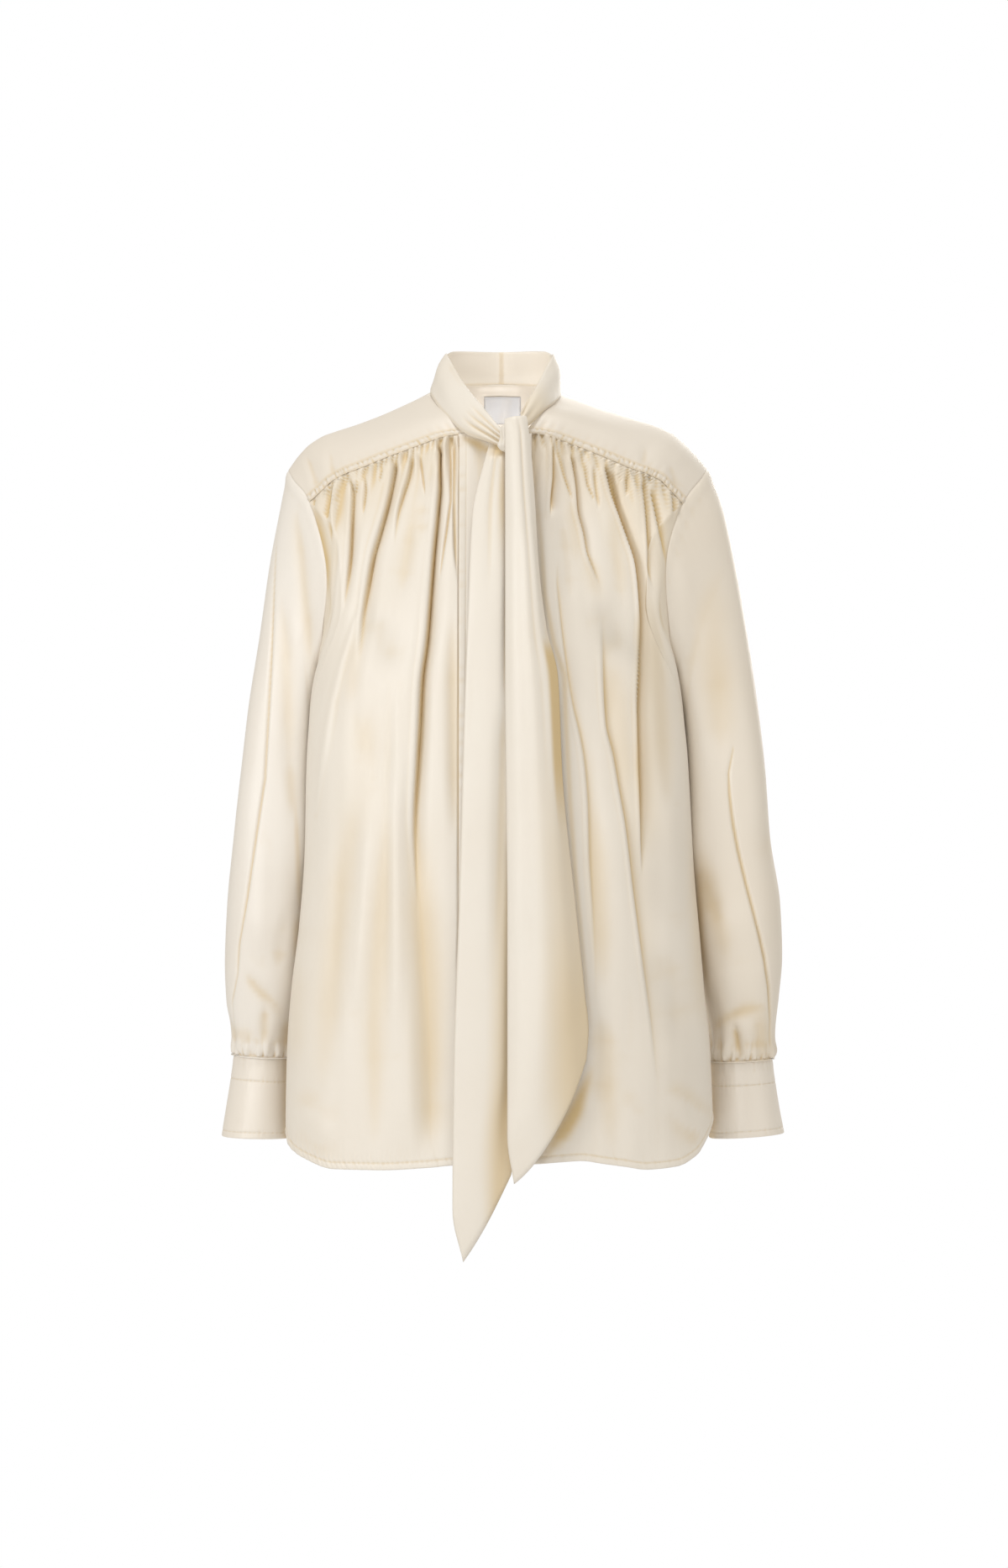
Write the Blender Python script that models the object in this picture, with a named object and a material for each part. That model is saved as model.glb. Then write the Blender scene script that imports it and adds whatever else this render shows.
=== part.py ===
"""A tie-neck silk blouse, worn and empty, as sewn pieces of thin cloth.

Metres, +Z up, the front faces -Y. The origin is the middle of the neck base,
at the height of the points where the collar meets the shoulders. Lengths in
the tables are millimetres. "right" is the wearer's right, at -X.
"""
import math
from collections import namedtuple

import bpy
import numpy as np

MM = 0.001
RIGHT, LEFT = -1, 1
SEAM = 0.22              # each piece stops this far short of its seam line

WALL = {"body": 1.2, "yoke": 1.6, "sleeve": 1.2, "cuff": 1.8, "collar": 2.4,
        "placket": 1.6, "tail": 1.6, "label": 1.0}

CLOTH = {"body": (0.83, 0.78, 0.70), "yoke": (0.80, 0.74, 0.66),
         "sleeve": (0.81, 0.75, 0.67), "cuff": (0.80, 0.75, 0.67),
         "collar": (0.83, 0.78, 0.71), "tail": (0.84, 0.80, 0.73),
         "label": (0.85, 0.84, 0.84)}


# ---- tables and curves -----------------------------------------------------

def track(rows, by, of, at):
    """One column of a table, read at positions `at` by monotone cubic steps."""
    rows = sorted(rows, key=lambda r: getattr(r, by))
    x = np.array([getattr(r, by) for r in rows], float)
    y = np.array([getattr(r, of) for r in rows], float)
    h = np.diff(x)
    d = np.diff(y) / h
    m = np.zeros_like(y)
    m[0], m[-1] = d[0], d[-1]
    for k in range(1, len(y) - 1):
        if d[k - 1] * d[k] > 0:
            m[k] = 2 * d[k - 1] * d[k] / (d[k - 1] + d[k])
    at = np.clip(np.asarray(at, float), x[0], x[-1])
    k = np.clip(np.searchsorted(x, at, side="right") - 1, 0, len(h) - 1)
    t = (at - x[k]) / h[k]
    a = (1 + 2 * t) * (1 - t) ** 2 * y[k] + t * (1 - t) ** 2 * h[k] * m[k]
    b = t * t * (3 - 2 * t) * y[k + 1] - t * t * (1 - t) * h[k] * m[k + 1]
    return a + b


def spot(rows, by, at, names=("x", "y", "z")):
    return np.stack([track(rows, by, n, at) for n in names], axis=-1)


def ring(rows, at):
    """A closed smooth curve through rows with columns turn (degrees), x, y, z."""
    turn = np.array([r.turn for r in rows], float)
    pts = np.array([[r.x, r.y, r.z] for r in rows], float)
    n = len(rows)
    at = np.mod(np.asarray(at, float) - turn[0], 360.0) + turn[0]
    ends = np.append(turn, turn[0] + 360.0)
    k = np.clip(np.searchsorted(ends, at, side="right") - 1, 0, n - 1)
    t = ((at - ends[k]) / (ends[k + 1] - ends[k]))[..., None]

    def slope(i):
        before, after = (i - 1) % n, (i + 1) % n
        span = np.mod(turn[after] - turn[before], 360.0)
        return (pts[after] - pts[before]) / span[..., None]

    h = (ends[k + 1] - ends[k])[..., None]
    p0, p1 = pts[k], pts[(k + 1) % n]
    m0, m1 = slope(k) * h, slope((k + 1) % n) * h
    return ((2 * t ** 3 - 3 * t ** 2 + 1) * p0 + (t ** 3 - 2 * t ** 2 + t) * m0
            + (3 * t ** 2 - 2 * t ** 3) * p1 + (t ** 3 - t ** 2) * m1)


def smooth(low, high, x):
    t = np.clip((x - low) / (high - low), 0, 1)
    return t * t * (3 - 2 * t)


def unit(v):
    return v / np.maximum(np.linalg.norm(v, axis=-1, keepdims=True), 1e-9)


# ---- the body's round ------------------------------------------------------

Level = namedtuple("Level", "z half_width widest_y front_y back_y lean back_round")
LEVELS = [
    Level(-45, 190, -22, -71, 84, -3, 3.2),
    Level(-110, 184, -24, -91, 93, -2, 3.1),
    Level(-171, 171, -30, -108, 98, -3, 2.8),
    Level(-220, 170, -36, -118, 98, -3, 2.4),
    Level(-266, 173, -40, -122, 96, -3, 2.15),
    Level(-347, 180, -42, -126, 94, -2, 1.9),
    Level(-446, 184, -42, -128, 98, -1, 1.85),
    Level(-510, 189, -41, -129, 104, -1, 1.85),
    Level(-570, 195, -40, -129, 110, -2, 1.85),
    Level(-630, 200, -38, -129, 115, -1, 1.85),
    Level(-740, 203, -35, -129, 121, 0, 1.85),
]
ROUND_FRONT = 2.35       # how square the round is, 2 is an ellipse
SIDE_Y = 2.0             # the side seams hang just behind the middle


def walk_map(front):
    """Share of the cloth from the centre to the side seam -> angle, at the waist."""
    width, widest, front_y, back_y = 182.0, -42.0, -127.0, 96.0
    back_round = LEVELS[6].back_round
    beyond = math.asin(((SIDE_Y - widest) / (back_y - widest)) ** (back_round / 2))
    if front:
        turn = np.linspace(0, math.pi / 2 + beyond, 500)
    else:
        turn = np.linspace(0, math.pi / 2 - beyond, 500)
    p = around(turn if front else math.pi - turn, width, widest, front_y, back_y, back_round)
    step = np.hypot(np.diff(p[0]), np.diff(p[1]))
    share = np.append(0, np.cumsum(step))
    return share / share[-1], turn


def around(turn, half_width, widest_y, front_y, back_y, back_round):
    c, s = np.cos(turn), np.abs(np.sin(turn))
    power = np.where(c > 0, 2 / ROUND_FRONT, 2 / back_round)
    reach = np.where(c > 0, front_y - widest_y, back_y - widest_y)
    return half_width * s ** power, widest_y + reach * np.abs(c) ** power


FRONT_WALK = walk_map(True)
BACK_WALK = walk_map(False)


def body_round(side, share, z, front=True):
    """Point of the body's smooth form: share 0 at the centre, 1 at the side."""
    walk = FRONT_WALK if front else BACK_WALK
    beyond = np.where(np.asarray(share) < 0, -1.0, 1.0)
    turn = np.interp(np.abs(share), *walk)
    if not front:
        turn = math.pi - turn
    cols = [track(LEVELS, "z", n, z)
            for n in ("half_width", "widest_y", "front_y", "back_y", "back_round")]
    x, y = around(turn, *cols)
    return np.stack([side * beyond * x + track(LEVELS, "z", "lean", z), y, z + 0 * x], -1)


def share_at(tops, front=True):
    """The share at which the body's round lies as far forward as each top point."""
    share = np.linspace(0, 1, 161)
    found = []
    for x, y, z in tops:
        line = body_round(LEFT, share, np.full(161, z), front)[:, 1]
        found.append(np.interp(y, line, share) if front else np.interp(-y, -line, share))
    return np.array(found)


# ---- neck, yoke and armholes -------------------------------------------------

Turn = namedtuple("Turn", "turn x y z")
NOTCH_FRONT, NOTCH_BACK = 48.0, -48.0
ARM_PITCH = 12.0         # degrees between the columns that meet an armhole
ARMHOLE = {
    RIGHT: [Turn(-180, -163, 2, -288), Turn(-138, -161, 40, -268),
            Turn(-94, -167, 62, -196), Turn(-48, -184, 47, -119),
            Turn(-24, -196, 24, -90), Turn(0, -202, 4, -78),
            Turn(22, -196, -20, -88), Turn(48, -180, -42, -110),
            Turn(90, -166, -60, -172), Turn(136, -164.5, -50, -246)],
    LEFT: [Turn(-180, 160, 2, -288), Turn(-138, 158, 40, -268),
           Turn(-94, 163, 62, -196), Turn(-48, 180, 47, -119),
           Turn(-24, 192, 24, -88), Turn(0, 198, 4, -76),
           Turn(22, 192, -20, -86), Turn(48, 175, -42, -110),
           Turn(90, 160, -60, -170), Turn(136, 156, -51, -246)],
}

Spoke = namedtuple("Spoke", "u x y z far front back")
# neck edge of the yoke, and where each spoke ends: `far` is a turn on the
# armhole, or beyond the back notch a share of the way to the centre back
YOKE = {
    RIGHT: [Spoke(0.00, -36, -70, -44.5, 48, 1.0, 0), Spoke(0.12, -48.5, -57, -30, 33, 0.7, 0),
            Spoke(0.25, -60.5, -32, -17, 15, 0.3, 0), Spoke(0.38, -67, -2, -5, 0, 0.0, 0),
            Spoke(0.50, -63.5, 30, 0.5, -24, 0.0, 0.4), Spoke(0.62, -54, 45, 3, -48, 0.0, 0.8),
            Spoke(0.76, -38, 57, 5, -68, 0.0, 1.0), Spoke(0.88, -19, 65.5, 6.5, -86, 0.0, 1.0),
            Spoke(1.00, 0, 68.5, 7, -104, 0.0, 1.0)],
    LEFT: [Spoke(0.00, 28, -70, -41.5, 48, 1.0, 0), Spoke(0.12, 42, -57, -26, 33, 0.7, 0),
           Spoke(0.25, 53, -32, -15.5, 15, 0.3, 0), Spoke(0.38, 58.5, -2, -6, 0, 0.0, 0),
           Spoke(0.50, 56.5, 30, 0, -24, 0.0, 0.4), Spoke(0.62, 49, 45, 3, -48, 0.0, 0.8),
           Spoke(0.76, 36, 57, 5, -68, 0.0, 1.0), Spoke(0.88, 18, 65.5, 6.5, -86, 0.0, 1.0),
           Spoke(1.00, 0, 68.5, 7, -104, 0.0, 1.0)],
}
Lift = namedtuple("Lift", "v seam shoulder_right shoulder_left back chest")
# how far the yoke stands above straight spokes, and in front of them
LIFTS = [Lift(0, 0, 0, 0, 0, 0), Lift(0.15, 4.5, 1.5, 4, -5, 3), Lift(0.3, 6, 3.5, 7, -4, 5),
         Lift(0.5, 9, 8, 12.5, 0, 6.5), Lift(0.67, 10.5, 13, 16.5, 3, 6.5), Lift(0.76, 13.5, 15, 17, 4, 6),
         Lift(0.84, 14.5, 14, 13.5, 4, 4.5), Lift(0.92, 9, 9, 7.5, 3, 2.5), Lift(1, 0, 0, 0, 0, 0)]
BACK_SEAM_Z, BACK_SEAM_Y = -116.0, 94.0


def armhole(side, turn):
    return ring(ARMHOLE[side], turn)


def back_seam(side, share):
    """The yoke's lower edge at the back: share 0 at the armhole, 1 at the centre."""
    notch = armhole(side, np.array(NOTCH_BACK))
    middle = np.array([0.0, BACK_SEAM_Y, BACK_SEAM_Z])
    share = np.asarray(share, float)[..., None]
    p = notch + (middle - notch) * share
    p[..., 1] = notch[1] + (middle[1] - notch[1]) * np.sin(share[..., 0] * math.pi / 2) ** 0.9
    return p


def yoke_point(side, u, v):
    rows = YOKE[side]
    near = spot(rows, "u", u)
    far = track(rows, "u", "far", u)
    share = np.clip((NOTCH_BACK - far) / 56.0, 0, 1)
    end = np.where((far >= NOTCH_BACK - 1e-3)[..., None], armhole(side, far), back_seam(side, share))
    seam, back = track(rows, "u", "front", u), track(rows, "u", "back", u)
    shoulder = "shoulder_right" if side == RIGHT else "shoulder_left"
    over = np.clip(1 - seam - back, 0, 1)
    p = near + (end - near) * v[..., None]
    p[..., 2] += (seam * track(LIFTS, "v", "seam", v) + over * track(LIFTS, "v", shoulder, v)
                  + back * track(LIFTS, "v", "back", v))
    chest = track(LIFTS, "v", "chest", v)
    p[..., 1] += chest * (1.7 * back - seam - 0.3 * over)
    return p


def front_seam(side, share):
    """The yoke's lower edge at the front: share 0 at the neck, 1 at the armhole."""
    share = np.asarray(share, float)
    return yoke_point(side, 0 * share, share)


# ---- folds -------------------------------------------------------------------

Fold = namedtuple("Fold", "name x0 z0 x1 z1 x2 z2 width depth")
FRONT_FOLDS = {
    RIGHT: [Fold("side", -139, -112, -154, -291, -186, -507, 11, 6),
            Fold("chest_a", -102, -92, -124, -190, -129, -345, 8, 7),
            Fold("chest_b", -60, -84, -73, -250, -80, -440, 9, 9),
            Fold("short_a", -127, -86, -130, -105, -131, -130, 5, 3),
            Fold("short_b", -84, -76, -88, -100, -92, -140, 5, 3),
            Fold("low_a", -112, -410, -121, -530, -118, -640, 16, 5),
            Fold("low_b", -79, -430, -70, -545, -65, -690, 15, 5),
            Fold("low_side", -160, -520, -163, -610, -160, -700, 16, 4)],
    LEFT: [Fold("tail_side", 50, -66, 49, -100, 52, -170, 6, 5),
           Fold("chest_a", 71, -76, 82, -155, 92, -205, 7, 5),
           Fold("narrow", 69, -290, 82, -394, 93, -520, 8, 6),
           Fold("long", 92, -240, 115, -406, 147, -630, 9, 6),
           Fold("chest_b", 93, -82, 127, -176, 131, -440, 8, 9),
           Fold("short_a", 134, -88, 139, -136, 145, -195, 6, 4),
           Fold("short_b", 145, -103, 152, -125, 160, -165, 5, 4),
           Fold("low_a", 60, -500, 66, -610, 64, -700, 15, 4),
           Fold("low_side", 165, -480, 168, -600, 166, -700, 15, 5)],
}
BACK_FOLDS = [Fold("a", -120, -140, -132, -330, -150, -620, 12, 8),
              Fold("b", -72, -135, -84, -300, -96, -560, 13, 9),
              Fold("c", -22, -135, -30, -280, -40, -470, 12, 8),
              Fold("d", 34, -135, 38, -320, 52, -590, 13, 9),
              Fold("e", 86, -138, 96, -290, 104, -540, 12, 8),
              Fold("f", 130, -150, 138, -340, 156, -640, 12, 8),
              Fold("g", -60, -480, -66, -600, -70, -720, 18, 6),
              Fold("h", 10, -460, 6, -600, 12, -720, 18, 6),
              Fold("i", 84, -500, 90, -620, 100, -720, 18, 6)]


def fold_depth(folds, x, z):
    """Depth of the folds under a point seen from the front, in millimetres."""
    total = np.zeros(np.shape(x))
    for f in folds:
        t = (z - f.z0) / (f.z2 - f.z0)
        m = (f.z1 - f.z0) / (f.z2 - f.z0)
        w = np.clip(t, 0, 1)
        path = np.where(w < m, f.x0 + (f.x1 - f.x0) * w / m,
                        f.x1 + (f.x2 - f.x1) * (w - m) / (1 - m))
        bend = (f.x1 - f.x0) / m - (f.x2 - f.x1) / (1 - m)
        path = path - 0.12 * bend * np.exp(-((w - m) / 0.22) ** 2)
        fade = smooth(-0.06, 0.12, t) * (1 - smooth(0.62, 1.1, t))
        wide = f.width * (0.75 + 0.7 * np.clip(t, 0, 1))
        total = total + f.depth * fade * np.exp(-((x - path) / wide) ** 2)
    return total


Hem = namedtuple("Hem", "x z")
HEM_FRONT = [Hem(-202, -706), Hem(-199, -715), Hem(-184, -726), Hem(-154, -735), Hem(-115, -735),
             Hem(-64, -732), Hem(-44, -730), Hem(29, -729), Hem(56, -727), Hem(76, -726),
             Hem(97, -729), Hem(117, -732), Hem(137, -735), Hem(165, -733), Hem(184, -724),
             Hem(197, -705), Hem(203, -690)]
HEM_BACK = [Hem(-203, -700), Hem(-190, -722), Hem(-150, -740), Hem(-80, -746), Hem(0, -742),
            Hem(40, -739), Hem(80, -739), Hem(112, -743), Hem(150, -741), Hem(190, -718), Hem(203, -688)]


# ---- fronts and back ---------------------------------------------------------

FRONT = {"gathers": 23, "armhole_columns": 11, "gather_height": 1.7, "edge_right": -39.2,
         "edge_left": -6.0, "seam_share": 0.80}
BACK = {"gathers": 23, "armhole_columns": 11, "gather_height": 1.7, "seam_share": 0.72}
DROP = [0, 0.012, 0.034, 0.068, 0.108, 0.16, 0.235, 0.32, 0.41, 0.52, 0.64, 0.77, 0.9, 1.0]
DENSE_ROWS = 6           # the gathers' own columns end here, every second goes on


def front_top(side, u):
    """Top edge of a front: yoke seam, then the armhole to the underarm."""
    gathered = FRONT["gathers"] * 2 / (FRONT["gathers"] * 2 + FRONT["armhole_columns"])
    on_yoke = np.clip(u / gathered, 0, 1)
    on_arm = np.clip((u - gathered) / (1 - gathered), 0, 1)
    seam = front_seam(side, on_yoke)
    arm = armhole(side, NOTCH_FRONT + (180 - NOTCH_FRONT) * on_arm)
    top = np.where((u <= gathered)[..., None], seam, arm)
    return top, on_yoke, on_arm


ARM_SHARES = np.linspace(0, 1, 24)
CLEAR = 0.035            # how far ahead of the armhole seam the cloth beside it hangs
SPREAD = 0.16            # least room the columns beside an armhole share out


def hang(side, top, shares, z_low, v, front):
    """Cloth from its top point over the body's round down to the hem.

    `shares` are where a column starts, where it hangs beside the armhole and
    where it ends below the underarm.
    """
    start, beside, final = shares
    z = top[..., 2] + (z_low - top[..., 2]) * v
    drop, drop_top = smooth(205, 330, -z), smooth(205, 330, -top[..., 2])
    below = np.clip((drop - drop_top) / np.maximum(1 - drop_top, 1e-6), 0, 1)
    near = 1 - (1 - np.clip((top[..., 2] - z) / 40.0, 0, 1)) ** 2.4
    share = start + (beside - start) * near
    share = share + (final - share) * below
    p = body_round(side, share, z, front)
    first = body_round(side, start, top[..., 2], front)
    p[..., :2] += (top - first)[..., :2] * ((1 - v) ** 4.2)[..., None]
    return p


def column_shares(side, first, last, on_yoke, on_arm, front):
    """Start, middle and end shares of the columns of a front or of half the back."""
    notch = NOTCH_FRONT if front else NOTCH_BACK
    turns = notch + ((180 if front else -180) - notch) * ARM_SHARES
    found = share_at(armhole(side, turns), front)
    found = found + (1 - found[-1]) * ARM_SHARES ** 6
    arm = np.interp(on_arm, ARM_SHARES, found)
    later = ARM_SHARES[None, :] - ARM_SHARES[:, None]
    held = np.min(np.where(later >= 0, found - SPREAD * later, 9.0), axis=1)
    held = held - CLEAR * (1 - ARM_SHARES ** 4)
    start = np.where(on_arm > 0, arm, first + (found[0] - first) * on_yoke)
    beside = np.where(on_arm > 0, np.interp(on_arm, ARM_SHARES, held),
                      first + (held[0] - first) * on_yoke)
    final = first + (last - first) * on_yoke + (1 - last) * on_arm
    return start, beside, final


def front_point(side, u, v):
    top, on_yoke, on_arm = front_top(side, u)
    edge = FRONT["edge_right"] if side == RIGHT else FRONT["edge_left"]
    first = side * edge / 285.0
    # the left edge runs on under the placket, the right one stops beside it
    corner = front_seam(side, np.zeros(1))[0]
    beside = corner + np.array([-2.7, 0.0, -1.0])
    first_top = np.array([edge, -71.0, -50.0]) if side == LEFT else beside
    reach = 0.13 if side == LEFT else 0.06
    under = np.clip(1 - on_yoke / reach, 0, 1)
    top = top + under[..., None] * (first_top - corner)
    shares = column_shares(side, first, FRONT["seam_share"], on_yoke, on_arm, True)
    foot = body_round(side, shares[2], np.full_like(u, -730.0))
    p = hang(side, top, shares, track(HEM_FRONT, "x", "z", foot[..., 0]), v, True)
    if side == RIGHT:
        hold = 1 - smooth(0, 0.045, on_yoke)
        p[..., 0] += (edge - p[..., 0]) * hold * smooth(0, 0.02, v)
    return p


def back_point(u, v):
    """u runs from the right side seam round the back to the left one."""
    w = np.where(u < 0.5, 1 - 2 * u, 2 * u - 1)       # 0 centre back, 1 side seam
    gathered = BACK["gathers"] / (BACK["gathers"] + BACK["armhole_columns"])
    on_yoke = np.clip(w / gathered, 0, 1)
    on_arm = np.clip((w - gathered) / (1 - gathered), 0, 1)
    out = np.zeros(u.shape + (3,))
    for s in (RIGHT, LEFT):
        seam = back_seam(s, 1 - on_yoke)
        arm = armhole(s, NOTCH_BACK - (180 + NOTCH_BACK) * on_arm)
        top = np.where((w <= gathered)[..., None], seam, arm)
        shares = column_shares(s, 0.0, BACK["seam_share"], on_yoke, on_arm, False)
        foot = body_round(s, shares[2], np.full_like(u, -730.0), front=False)
        p = hang(s, top, shares, track(HEM_BACK, "x", "z", foot[..., 0]), v, False)
        out = np.where(((u < 0.5) == (s == RIGHT))[..., None], p, out)
    return out


# ---- solids ------------------------------------------------------------------

def grid_faces(counts, closed=False):
    """Faces between rows of points, where a row may have half or twice the last."""
    faces, start = [], 0
    for n, m in zip(counts, counts[1:]):
        nxt = start + n
        if n == m:
            for i in range(n if closed else n - 1):
                j = (i + 1) % n
                faces.append((start + i, start + j, nxt + j, nxt + i))
        elif n > m:
            for i in range(m if closed else m - 1):
                a, b, c = start + 2 * i, start + 2 * i + 1, start + (2 * i + 2) % n
                p, q = nxt + i, nxt + (i + 1) % m
                faces += [(a, b, p), (b, q, p), (b, c, q)]
        else:
            for i in range(n if closed else n - 1):
                a, b = start + i, start + (i + 1) % n
                p, q, r = nxt + 2 * i, nxt + 2 * i + 1, nxt + (2 * i + 2) % m
                faces += [(a, q, p), (a, b, q), (b, r, q)]
        start = nxt
    return faces


def point_normals(points, faces):
    total = np.zeros_like(points)
    for f in faces:
        ring_pts = points[list(f)]
        n = np.zeros(3)
        for a, b in zip(ring_pts, np.roll(ring_pts, -1, axis=0)):
            n += np.cross(a, b)
        for i in f:
            total[i] += n
    return unit(total)


def shell(name, rows, wall, kind, closed=False, flip=False, ways=()):
    """A sheet of cloth: rows are its outer face, `wall` mm thick to the inside.

    `ways` lists (point indices, directions, weight) where the rim leans the way
    its seam does, so that two pieces meet square.
    """
    points = np.concatenate(rows)
    faces = []
    for f in grid_faces([len(r) for r in rows], closed):
        if len(f) == 3:
            faces.append(f)
            continue
        a, b, c, d = f
        if np.linalg.norm(points[a] - points[c]) < np.linalg.norm(points[b] - points[d]):
            faces += [(a, b, c), (a, c, d)]
        else:
            faces += [(a, b, d), (b, c, d)]
    if flip:
        faces = [f[::-1] for f in faces]
    normal = point_normals(points, faces)
    for where, way, weight in ways:
        weight = np.asarray(weight, float).reshape(-1, 1)
        normal[where] = unit(normal[where] * (1 - weight) + unit(way) * weight)
    count = len(points)
    inner = points - normal * wall
    edges = {}
    for f in faces:
        for a, b in zip(f, f[1:] + f[:1]):
            edges[(a, b)] = True
    rim = [(b, a, a + count, b + count) for (a, b) in edges if (b, a) not in edges]
    back = [tuple(i + count for i in f[::-1]) for f in faces]
    return solid(name, np.concatenate([points, inner]), faces + back + rim, kind)


def solid(name, points, faces, kind):
    mesh = bpy.data.meshes.new(name)
    mesh.from_pydata([tuple(p) for p in np.asarray(points) * MM], [], faces)
    mesh.validate()
    item = bpy.data.objects.new(name, mesh)
    bpy.context.collection.objects.link(item)
    cloth = bpy.data.materials.new(name + "_silk")
    cloth.use_nodes = True
    look = cloth.node_tree.nodes["Principled BSDF"]
    look.inputs["Base Color"].default_value = (*CLOTH[kind], 1.0)
    look.inputs["Roughness"].default_value = 0.5
    mesh.materials.append(cloth)
    return item


def halve(u):
    return u[::2]


# which way the rims lean around an armhole; x is outward from the body
ARMHOLE_WAYS = [Turn(-180, 0.05, 0.0, -1.0), Turn(-138, 0.15, 0.85, -0.45), Turn(-94, 0.3, 0.93, 0.1),
                Turn(-48, 0.6, 0.55, 0.58), Turn(-24, 0.7, 0.28, 0.66), Turn(0, 0.74, 0.0, 0.67),
                Turn(22, 0.7, -0.28, 0.66), Turn(48, 0.6, -0.55, 0.58), Turn(90, 0.3, -0.93, 0.1),
                Turn(136, 0.15, -0.85, -0.45)]
FRONT_WAY, BACK_WAY = (0.0, -0.8, 0.6), (0.0, 0.95, 0.3)


def armhole_way(side, turn):
    return unit(ring(ARMHOLE_WAYS, turn) * np.array([side, 1.0, 1.0]))


def armhole_step(side, turn):
    """Square to the armhole seam, towards the body, within the cloth."""
    line = armhole(side, turn + 1.0) - armhole(side, turn - 1.0)
    return unit(np.cross(line, armhole_way(side, turn))) * side


def seam_way(side, share, front):
    """Lean of the yoke's lower seams: share 0 at the centre, 1 at the armhole."""
    share = np.asarray(share, float)
    way = np.array(FRONT_WAY if front else BACK_WAY)
    end = armhole_way(side, np.array(NOTCH_FRONT if front else NOTCH_BACK))
    w = smooth(0.7, 1.0, share)[..., None]
    return unit(way * (1 - w) + end * w)


def seam_step(line, way, towards):
    """Square to a seam line and to its lean, on the side of `towards`."""
    m = unit(np.cross(line, way))
    return m * np.sign(np.sum(m * towards, axis=-1, keepdims=True))


def build_front(side):
    gathers, arm = FRONT["gathers"] * 2, FRONT["armhole_columns"]
    dense = np.linspace(0, 1, gathers + arm + 1)
    dense[-1] -= 3 * SEAM / 285.0
    top, on_yoke, on_arm = front_top(side, dense)
    turn = NOTCH_FRONT + (180 - NOTCH_FRONT) * on_arm
    way = np.where((on_arm > 0)[:, None], armhole_way(side, turn), seam_way(side, on_yoke, True))
    down = seam_step(np.gradient(top, axis=0), way, np.array([0.0, 0.0, -1.0]))
    step = np.where((on_arm > 0)[:, None], armhole_step(side, turn), down)
    step[gathers] = unit(step[gathers - 1] + step[gathers + 1])
    rows = []
    for k, v in enumerate(DROP):
        u = dense if k < DENSE_ROWS else halve(dense)
        vv = np.full_like(u, v)
        p = front_point(side, u, vv)
        column = np.arange(len(u)) * (1 if k < DENSE_ROWS else 2)
        out = outward(p, lambda q_u, q_v: front_point(side, q_u, q_v), u, vv)
        if k < 2:
            out = way if k == 0 else unit(out + 0.5 * way)
        zig = np.where(column % 2 == 0, -1.0, 1.0)
        height = FRONT["gather_height"] * (1 - smooth(0.0, 0.13, v))
        height = height * smooth(0, 3, column) * (1 - smooth(gathers - 4, gathers, column))
        sink = fold_depth(FRONT_FOLDS[side], p[:, 0], p[:, 2]) * smooth(0.0, 0.03, vv)
        if side == LEFT:
            sink = sink + 3.4 * (1 - smooth(30, 46, p[:, 0]))
        arm_edge = smooth(gathers - 2, gathers + 2, column) * (1 - smooth(0, 0.22, v))
        sink = sink * (1 - arm_edge) * (1 - 0.8 * smooth(0.9, 1.0, u))
        if k == 0:
            p = p + step * SEAM * 1.1
        rows.append(p + out * (zig * height - sink)[:, None])
    name = "front_right" if side == RIGHT else "front_left"
    ways = [(np.arange(len(dense)), way, 1.0)]
    return shell(name, rows, WALL["body"], "body", flip=(side == LEFT), ways=ways)


def outward(p, point, u, v):
    """Outward direction of a smooth form at (u, v), away from the body's axis."""
    du, dv = 0.004, 0.004
    u0, u1 = np.clip(u - du, 0.0, 1.0), np.clip(u + du, 0.0, 1.0)
    v0, v1 = np.clip(v - dv, 0.0, 1.0), np.clip(v + dv, 0.0, 1.0)
    n = unit(np.cross(point(u1, v) - point(u0, v), point(u, v1) - point(u, v0)))
    away = p * np.array([1.0, 1.0, 0.0])
    turn = np.sign(np.sum(n * away, axis=-1, keepdims=True))
    return n * np.where(turn == 0, 1, turn)


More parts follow.
